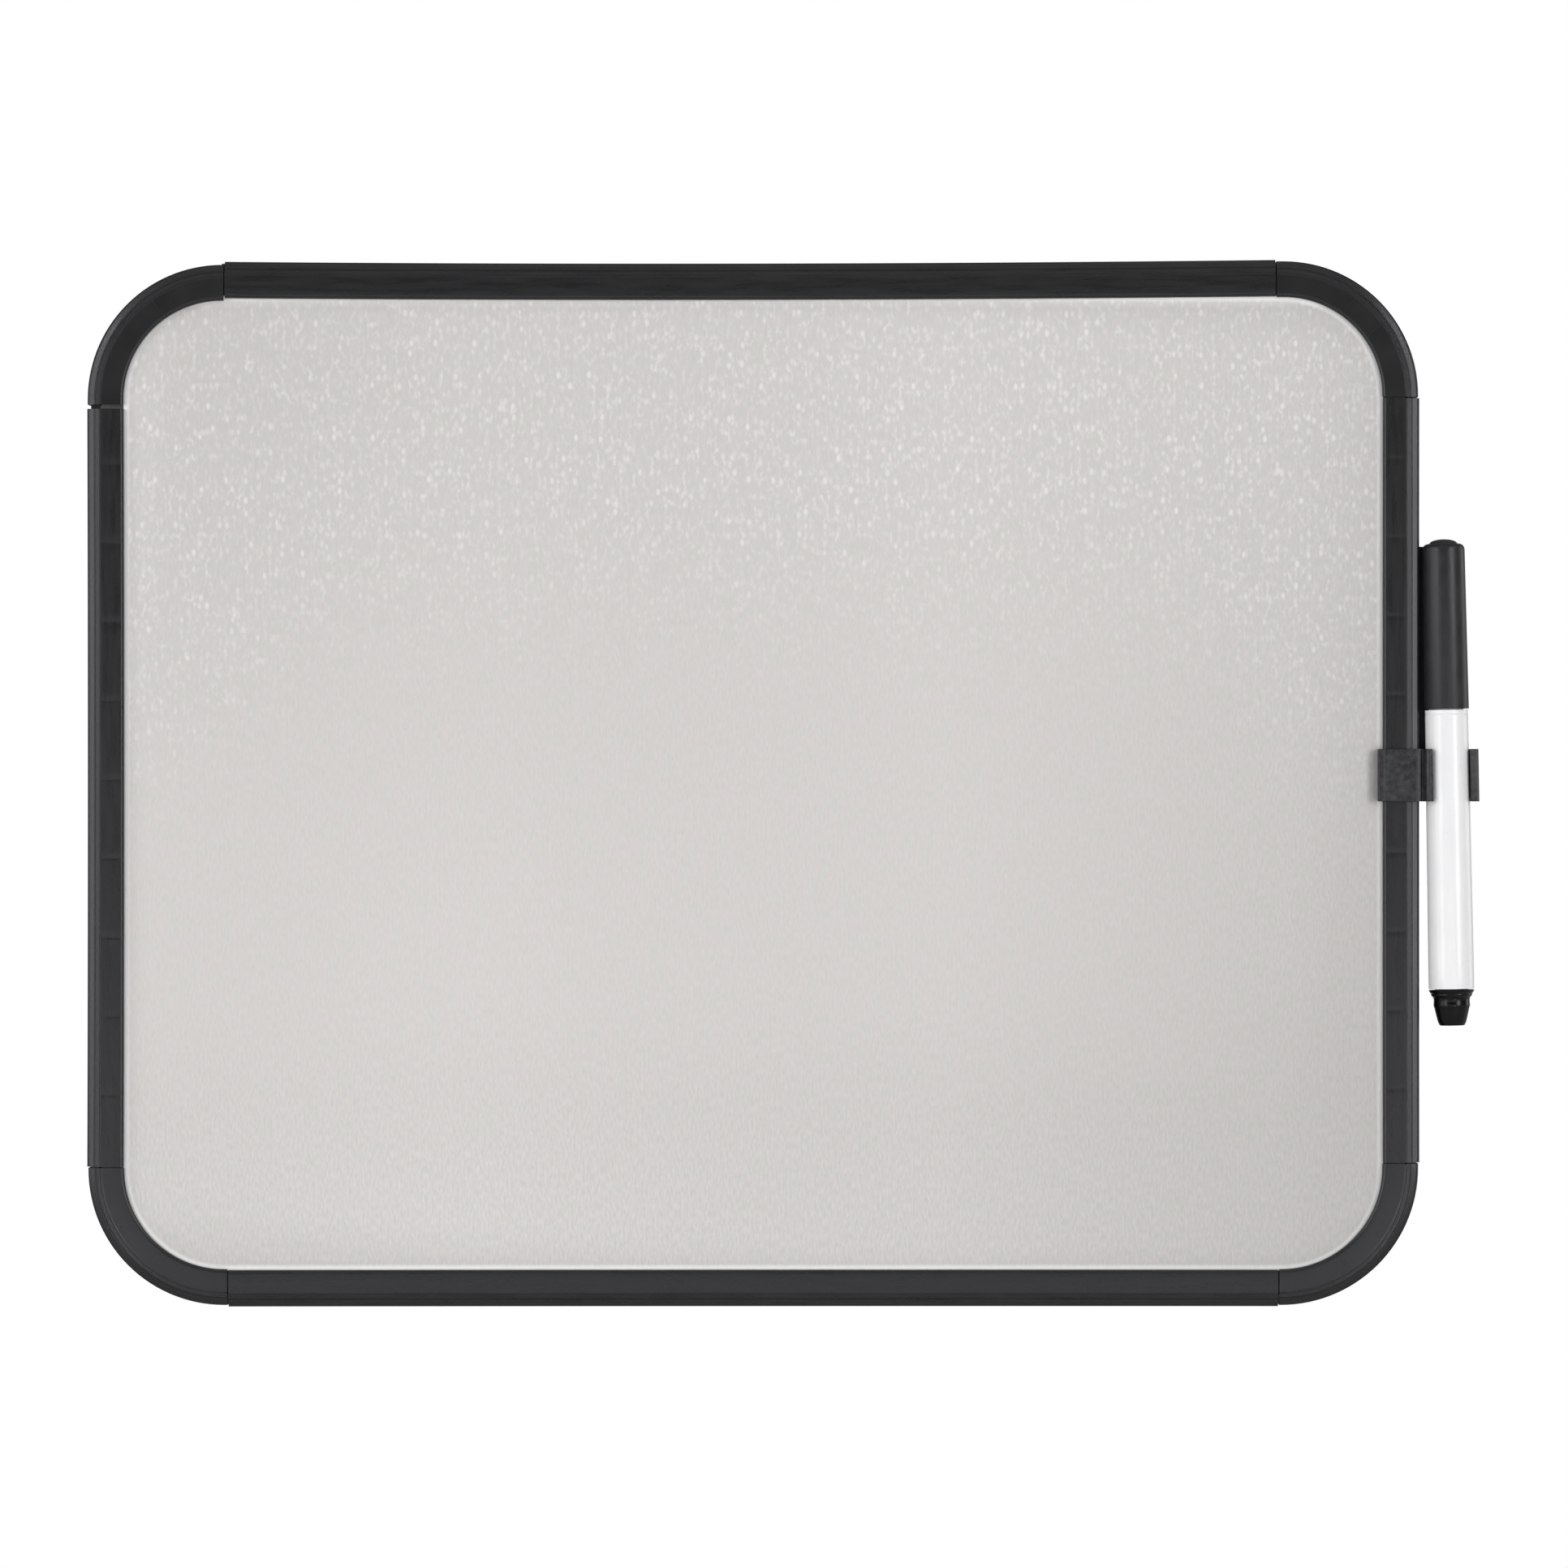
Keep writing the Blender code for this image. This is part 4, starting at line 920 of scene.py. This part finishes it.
def turned(name, node_name, body, material, section, soft=0.1):
    """Spin a closed section of (radius, height) points; soft is the width of the bevel on its hard edges."""
    bm = bmesh.new()
    rings = []
    for radius, height in section:
        if radius == 0:
            rings.append([bm.verts.new((0, 0, height * MM))])
            continue
        ring = []
        for step in range(TURN_STEPS):
            angle = math.tau * step / TURN_STEPS
            x, y = radius * MM * math.cos(angle), radius * MM * math.sin(angle)
            ring.append(bm.verts.new((x, y, height * MM)))
        rings.append(ring)
    for first, second in zip(rings, rings[1:] + rings[:1]):
        if len(first) == 1 and len(second) == 1:
            continue
        for i in range(TURN_STEPS):
            j = (i + 1) % TURN_STEPS
            loop = [first[i % len(first)], first[j % len(first)]]
            loop += [second[j % len(second)], second[i % len(second)]]
            bm.faces.new(list(dict.fromkeys(loop)))
    bmesh.ops.recalc_face_normals(bm, faces=bm.faces)
    round_edges(bm, 30, soft * MM, 3)
    bmesh.ops.transform(bm, matrix=AXIS, verts=bm.verts)
    finish_mesh(mesh_from(bm, name, material), name, body, node_name)


def quarter(outer, inner, low, high, power, steps):
    """A rounded edge from (outer, low) up to (inner, high): an ellipse where power is 1, fuller below it."""
    points = []
    for step in range(steps + 1):
        angle = math.pi / 2 * step / steps
        across = abs(math.cos(angle)) ** power
        points.append((inner + (outer - inner) * across, low + (high - low) * math.sin(angle) ** power))
    return points


# %% Barrel
BARREL_BORE = 4.7
FOOT_RADIUS = 6.1
FOOT_BEVEL = 0.05
TOP_RADIUS = 5.72
LINE_DROP = 1.2
LINE_STEPS = ((-0.16, 0), (-0.05, 0.1), (0.05, 0.1), (0.16, 0))
STATION_STEP = 8
NECK_RADIUS = 4.55
NECK_TAPER = 0.45
NECK_BORE = 3.3
NECK_SEAT = BARREL_SHOULDER - 3.7
BEAD_STEPS = ((0.3, 0), (0.36, 0.1), (0.42, 0), (0.75, 0))


def barrel_radius(height):
    """Radius of the slightly tapered barrel."""
    share = (height - BARREL_FOOT) / (BARREL_SHOULDER - BARREL_FOOT)
    return FOOT_RADIUS + (TOP_RADIUS - FOOT_RADIUS) * share


section = [(BARREL_BORE, BARREL_FOOT), (FOOT_RADIUS - FOOT_BEVEL, BARREL_FOOT)]
for step in range(9):
    height = BARREL_FOOT + (step + 0.5) * STATION_STEP
    section.append((barrel_radius(height), height))
line = BARREL_SHOULDER - LINE_DROP
section += [(barrel_radius(line) - dip, line + rise) for rise, dip in LINE_STEPS]
section += [(TOP_RADIUS, BARREL_SHOULDER), (NECK_RADIUS, BARREL_SHOULDER)]
neck = NECK_END - BARREL_SHOULDER
section += [(NECK_RADIUS + swell, BARREL_SHOULDER + neck * share) for share, swell in BEAD_STEPS]
section += [(NECK_RADIUS - NECK_TAPER, NECK_END), (NECK_BORE, NECK_END)]
section += [(NECK_BORE, NECK_SEAT), (BARREL_BORE, NECK_SEAT)]
turned("white_barrel", "marker_barrel", "marker", BARREL_WHITE, section, 0.14)

# %% Cap
CAP_RIM_RADIUS = 6.0
CAP_TOP_RADIUS = 5.65
CAP_SHOULDER = 2.0
BUTTON_RADIUS = 3.7
BUTTON_HEIGHT = 1.2
CAP_BORE = 5.0
CAP_CEILING = MARKER_TOP - 2.6
CEILING_RADIUS, CEILING_ROUND = 4.4, 1.0
cap_end = MARKER_TOP - BUTTON_HEIGHT
section = [(CAP_BORE, CAP_RIM), (CAP_RIM_RADIUS, CAP_RIM)]
section += quarter(CAP_TOP_RADIUS, BUTTON_RADIUS, cap_end - CAP_SHOULDER, cap_end, 0.8, 12)
section += quarter(BUTTON_RADIUS, 0, cap_end, MARKER_TOP, 1, 10)[1:-1]
section += [(0, MARKER_TOP), (0, CAP_CEILING), (CEILING_RADIUS - CEILING_ROUND, CAP_CEILING)]
section += [(CEILING_RADIUS, CAP_CEILING - CEILING_ROUND)]
turned("black_cap", "marker_cap", "cap", CAP_BLACK, section, 0.14)

# %% End plug: a tapered foot, a bulge, a neck, a bead and a step up to the flange
PLUG_FLANGE = BARREL_FOOT - 0.3
PLUG_TIP_RADIUS, PLUG_TIP_ROUND = 3.4, 0.3
PLUG_RIDGE_RADIUS, PLUG_RIDGE = 4.64, PLUG_FLANGE - 4.83
PLUG_TAPER_SHARES = (0.17, 0.28, 0.39, 0.55, 0.7, 0.84, 0.93)
BULGE_CENTRE, BULGE_RADIUS = (2.65, PLUG_FLANGE - 3.9), 2.2
PLUG_NECK = ((4.8, 2.5), (4.9, 2.1), (5.1, 1.85))
BEAD_CENTRE, BEAD_RADIUS = (4.86, PLUG_FLANGE - 1.2), 0.62
PLUG_STEP = ((5.62, 0.85), (5.8, 0.6), (FOOT_RADIUS - 0.12, 0.3), (FOOT_RADIUS, 0))
SPIGOT_RADIUS, SPIGOT_LENGTH, SPIGOT_WALL = BARREL_BORE - 0.3, 10, 1.1
section = [(0, 0)] + arc((PLUG_TIP_RADIUS - PLUG_TIP_ROUND, PLUG_TIP_ROUND), PLUG_TIP_ROUND, -90, -20, 4)
for share in PLUG_TAPER_SHARES:
    spread = (PLUG_RIDGE_RADIUS - PLUG_TIP_RADIUS) * share ** 0.8
    section.append((PLUG_TIP_RADIUS + spread, PLUG_RIDGE * share))
section += arc(BULGE_CENTRE, BULGE_RADIUS, -25, 12, 10)
section += [(radius, PLUG_FLANGE - drop) for radius, drop in PLUG_NECK]
section += arc(BEAD_CENTRE, BEAD_RADIUS, -50, 20, 8)
section += [(radius, PLUG_FLANGE - drop) for radius, drop in PLUG_STEP]
section += [(SPIGOT_RADIUS, PLUG_FLANGE), (SPIGOT_RADIUS, PLUG_FLANGE + SPIGOT_LENGTH)]
section += [(SPIGOT_RADIUS - SPIGOT_WALL, PLUG_FLANGE + up) for up in (SPIGOT_LENGTH, SPIGOT_WALL)]
section += [(0, PLUG_FLANGE + SPIGOT_WALL)]
turned("gloss_plug", "end_plug", "marker", PLUG_BLACK, section)

# %% Sleeve, nib, ink store and liner
NIB_RADIUS, TAIL_RADIUS, TAIL_BEVEL = 2.0, 1.7, 0.3
SLEEVE_BORE, SLEEVE_RADIUS, SLEEVE_TIP_RADIUS = 2.3, 3.0, 2.85
FLANGE_RADIUS, FLANGE_HEIGHT, FLANGE_BEVEL = 3.75, 1.0, 0.4
STORE_RADIUS = 4.4
LINER_MOUTH_RADIUS, LINER_WALL = 3.35, 0.9
sleeve_foot, sleeve_end = reach_of("nib_holder")
nib_tail, nib_tip = reach_of("nib")
store_foot, store_top = reach_of("ink_reservoir")
liner_mouth, liner_top = reach_of("inner_cap")
flange = NECK_END + 0.3
flange_top = flange + FLANGE_HEIGHT
section = [(SLEEVE_BORE, sleeve_foot), (SLEEVE_RADIUS, sleeve_foot), (SLEEVE_RADIUS, flange)]
section += [(FLANGE_RADIUS, flange), (FLANGE_RADIUS, flange_top)]
section += [(FLANGE_RADIUS - FLANGE_BEVEL, flange_top + FLANGE_BEVEL)]
section += [(SLEEVE_TIP_RADIUS, sleeve_end), (SLEEVE_BORE, sleeve_end)]
turned("white_sleeve", "nib_holder", "marker", SLEEVE_WHITE, section, 0.08)
section = [(0, nib_tail), (TAIL_RADIUS, nib_tail), (NIB_RADIUS, nib_tail + TAIL_BEVEL)]
section += arc((0, nib_tip - NIB_RADIUS), NIB_RADIUS, 0, 90, 14)[:-1] + [(0, nib_tip)]
turned("bullet_nib", "nib", "marker", FELT, section, 0.05)
section = [(0, store_foot), (STORE_RADIUS, store_foot), (STORE_RADIUS, store_top), (SLEEVE_BORE, store_top)]
section += [(SLEEVE_BORE, nib_tail - 0.3), (0, nib_tail - 0.3)]
turned("ink_store", "ink_reservoir", "marker", FELT, section, 0.2)


def liner_radius(height):
    """Outer radius of the liner, which follows the tapered bore of the cap with a clearance."""
    share = (height - CAP_RIM) / (CAP_CEILING - CEILING_ROUND - CAP_RIM)
    return CAP_BORE - (CAP_BORE - CEILING_RADIUS) * share - 0.3


mouth, top = liner_radius(liner_mouth), liner_radius(liner_top)
section = [(LINER_MOUTH_RADIUS, liner_mouth), (mouth, liner_mouth), (top, liner_top - LINER_WALL)]
section += [(top - LINER_WALL, liner_top), (0, liner_top), (0, liner_top - LINER_WALL)]
section += [(top - 2 * LINER_WALL, liner_top - 2 * LINER_WALL)]
turned("cap_liner", "inner_cap", "cap", SLEEVE_WHITE, section)

# %% [markdown]
# ## The holder
#
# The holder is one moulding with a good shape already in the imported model: a saddle over the rail with a
# hook, and an open ring. Its mesh there is loose triangles. A copy is welded, its flat faces are joined up
# again, and its hard edges get the small rounds of a real mould, which is where plastic shows its
# highlights. On the front, between saddle and ring, a small ridge runs up the moulding. It is cut in at a
# few places across and pushed to its depths there, and its faces stay flat, so that each slope catches its
# own light.

# %% Copy the holder and shape its ridge
# Across the front, as (x, depth) in millimetres: crease, ridge that faces left, valley, ring
RIDGE = [(176.75, 12.2), (176.95, 12.12), (177.75, 12.48), (177.95, 12.44), (178.2, 12.0), (178.55, 12.0)]
RIDGE += [(178.9, 13.4), (179.34, 14.49)]
FRONT_DEPTH = 11.8
HOLDER_EDGE = 0.12 * MM
WELD = 0.01 * MM


def ridge_depth(point):
    """Depth of the front at a point, in millimetres; None outside the ridge."""
    x, depth = point.x / MM, -point.y / MM
    if depth <= FRONT_DEPTH:
        return None
    for (low, near), (high, far) in zip(RIDGE, RIDGE[1:]):
        if low <= x <= high:
            return near + (far - near) * (x - low) / (high - low)
    return None


bm = bmesh.new()
bm.from_mesh(frame["nodes"]["marker_holder"].data)
bmesh.ops.remove_doubles(bm, verts=bm.verts, dist=WELD)
bmesh.ops.dissolve_limit(bm, angle_limit=math.radians(0.5), verts=bm.verts, edges=bm.edges)
for x, depth in RIDGE:
    whole = bm.verts[:] + bm.edges[:] + bm.faces[:]
    bmesh.ops.bisect_plane(bm, geom=whole, plane_co=(x * MM, 0, 0), plane_no=(1, 0, 0))
for vert in bm.verts:
    depth = ridge_depth(vert.co)
    if depth is not None:
        vert.co.y = -depth * MM
round_edges(bm, 24, HOLDER_EDGE, 2)
holder_mesh = mesh_from(bm, "clip_moulding", HOLDER_BLACK)
finish_mesh(holder_mesh, "clip_moulding", "holder", "marker_holder")
for polygon in holder_mesh.polygons:
    if ridge_depth(polygon.center) is not None:
        polygon.use_smooth = False
print("flat faces on the ridge:", sum(not polygon.use_smooth for polygon in holder_mesh.polygons))

# %% [markdown]
# ## Stage, light and camera
#
# The photograph is a plain product shot: white all round, softboxes on both sides and little light from the
# front, so that flat black faces stay dark and the slopes of the frame catch the light. Small lamps high
# and low at the sides find the slopes of the corners. The view is straight on through a long lens. The
# world shows white to the camera and to reflections that look past the back of the board, and gives a soft
# dim light from elsewhere. The floor keeps the shadow and fades to the same white away from the board.

# %% Floor
FLOOR_LEVEL = -0.30
FLOOR_SIDE, FLOOR_FRONT, FLOOR_REAR = 1.5, -2.0, 0.8
FADE_START, FADE_END = 0.36, 0.84
floor_material, shader, place = new_material("pale floor")
tree = floor_material.node_tree
paper = effect(clouds, place, (2, 2, 2), Detail=4.0)
reach = node(tree, "ShaderNodeVectorMath", {0: place}, operation="LENGTH").outputs["Value"]
fade = remap(reach, FADE_START, FADE_END, 0.25, 1.0, smooth=True)
fade = product(fade, node(tree, "ShaderNodeLightPath").outputs["Is Camera Ray"])
feed(shader, Base_Color=mixed(paper, grey(0.80), grey(0.84)), Roughness=0.8)
feed(shader, Emission_Color=mixed(fade, grey(0.0), grey(1.0)), Emission_Strength=1.0)


def rectangle(left, right, low, high):
    """Its four corners, in two coordinates."""
    return [(left, low), (right, low), (right, high), (left, high)]


def flat_object(name, corners, material):
    """One face with a material, given by its four corners."""
    mesh = bpy.data.meshes.new(name)
    mesh.from_pydata(corners, [], [(0, 1, 2, 3)])
    mesh.materials.append(material)
    return placed(name, mesh)


plan = rectangle(-FLOOR_SIDE, FLOOR_SIDE, FLOOR_FRONT, FLOOR_REAR)
floor = flat_object("floor", [(x, y, FLOOR_LEVEL) for x, y in plan], floor_material)
print("stage:", floor.name)

# %% [markdown]
# The slit between the frame and the marker is dark in the photograph, although the background is white. It
# gets two narrow dark cards as its backdrop, a painted shadow: one for the barrel and one for the cap, and
# each moves with its piece. They are clear from behind.

# %% Dark cards that paint the shadow in the slit between frame and marker
SLIT_DEPTH = 7.0 * MM
SLIT_LEFT, SLIT_RIGHT = HALF_WIDTH + 0.02 * MM, HALF_WIDTH + 2.8 * MM
SLIT_FOOT, SLIT_TOP = 9.16 * MM, 63.2 * MM
# The cards are a painted shadow: near-black with faint clouds, seen only from the front
slit_shadow_material, shader, place = new_material("slit shadow")
tree = slit_shadow_material.node_tree
dim = effect(clouds, place, (2, 2, 6), Low=0.35, High=0.65)
feed(shader, Base_Color=mixed(dim, grey(0.004), grey(0.010)), Roughness=0.9)
behind = node(tree, "ShaderNodeNewGeometry").outputs["Backfacing"]
clear = node(tree, "ShaderNodeBsdfTransparent").outputs[0]
seen = node(tree, "ShaderNodeMixShader", {0: behind, 1: shader.outputs[0], 2: clear}).outputs[0]
tree.links.new(seen, tree.nodes["Material Output"].inputs["Surface"])

cap_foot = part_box("marker_cap")[0].z
for body, foot, top in (("marker", SLIT_FOOT, cap_foot), ("cap", cap_foot, SLIT_TOP)):
    corners = [(x, -SLIT_DEPTH, z) for x, z in rectangle(SLIT_LEFT, SLIT_RIGHT, foot, top)]
    shadow_card = flat_object("slit_beside_" + body, corners, slit_shadow_material)
    shadow_card.parent = frame["bodies"][body]
    shadow_card.matrix_parent_inverse = frame["bodies"][body].matrix_world.inverted()
    print("stage:", shadow_card.name)

# %% World
FRONT_LEVEL = 0.08
SIDE_LEVEL = 0.25
PAST_LEVEL = 0.3
world = bpy.data.worlds.new("studio")
bpy.context.scene.world = world
world.use_nodes = True
tree = world.node_tree
tree.nodes.clear()
rays = node(tree, "ShaderNodeLightPath").outputs
direction = node(tree, "ShaderNodeTexCoord").outputs["Generated"]
depth = node(tree, "ShaderNodeSeparateXYZ", {0: direction}).outputs["Y"]
mirror = calc("MAXIMUM", rays["Is Glossy Ray"], rays["Is Transmission Ray"])
past = product(mirror, remap(depth, 0.55, 0.9, 0.0, PAST_LEVEL))
white = calc("MAXIMUM", rays["Is Camera Ray"], past)
studio = remap(depth, -0.95, -0.4, FRONT_LEVEL, SIDE_LEVEL)
level = calc("MAXIMUM", studio, white)
background = node(tree, "ShaderNodeBackground", {"Color": (1, 1, 1, 1), "Strength": level})
tree.links.new(background.outputs[0], node(tree, "ShaderNodeOutputWorld").inputs["Surface"])

# %% Softboxes
LIGHT_DISTANCE = 2.5
FILL_DISTANCE = 1.5
NEAR_DISTANCE = 0.84


def softbox(name, azimuth, elevation, width, height, radiance, distance=LIGHT_DISTANCE):
    """A rectangular light that faces the board: azimuth from straight in front towards +X, in degrees."""
    lamp = bpy.data.lights.new(name, "AREA")
    lamp.shape = "RECTANGLE"
    lamp.size = width
    lamp.size_y = height
    lamp.energy = radiance * math.pi * width * height
    light = placed(name, lamp)
    turn, lift = math.radians(azimuth), math.radians(elevation)
    facing = Vector((math.sin(turn) * math.cos(lift), -math.cos(turn) * math.cos(lift), math.sin(lift)))
    light.location = facing * distance
    light.rotation_euler = facing.to_track_quat("Z", "Y").to_euler()
    light.visible_camera = False
    print(name, round(lamp.energy), "W")


softbox("left softbox", -43, 0, 0.9, 1.5, 4.2)
softbox("left far", -68, 0, 0.6, 2.2, 3.0)
softbox("right softbox", 43, 0, 0.8, 1.5, 6.0)
softbox("right rear", 112, 0, 1.0, 2.0, 1.6)
softbox("top near", 0, 42, 2.2, 0.5, 0.4)
softbox("top softbox", 0, 62, 2.2, 1.0, 0.7)
softbox("front high", 0, 25, 2.2, 0.5, 0.8)
softbox("high left", -45, 23, 0.32, 0.45, 14.0)
softbox("high right", 45, 23, 0.32, 0.45, 14.0)
softbox("upper left", -62, 38, 1.0, 1.0, 1.3)
softbox("upper right", 62, 38, 1.0, 1.0, 1.4)
softbox("low left", -30, -17.5, 0.09, 0.08, 10.0, NEAR_DISTANCE)
softbox("low right", 30, -17.5, 0.09, 0.08, 10.0, NEAR_DISTANCE)
softbox("front fill", 0, -7, 1.4, 0.3, 1.3, FILL_DISTANCE)

# %% Camera
CAMERA_DISTANCE = 2.0
SUBJECT_PLANE = -8.4 * MM
FRAMED_WIDTH = 418.7 * MM
camera_data = bpy.data.cameras.new("camera")
camera_data.sensor_width = 36.0
camera_data.lens = camera_data.sensor_width * CAMERA_DISTANCE / FRAMED_WIDTH
camera = placed("camera", camera_data)
camera.location = (8.2 * MM, SUBJECT_PLANE - CAMERA_DISTANCE, -0.2 * MM)
camera.rotation_euler = (math.pi / 2, 0, 0)
bpy.context.scene.camera = camera
bpy.context.scene.view_settings.view_transform = "Standard"
print("lens, mm:", round(camera_data.lens, 1))
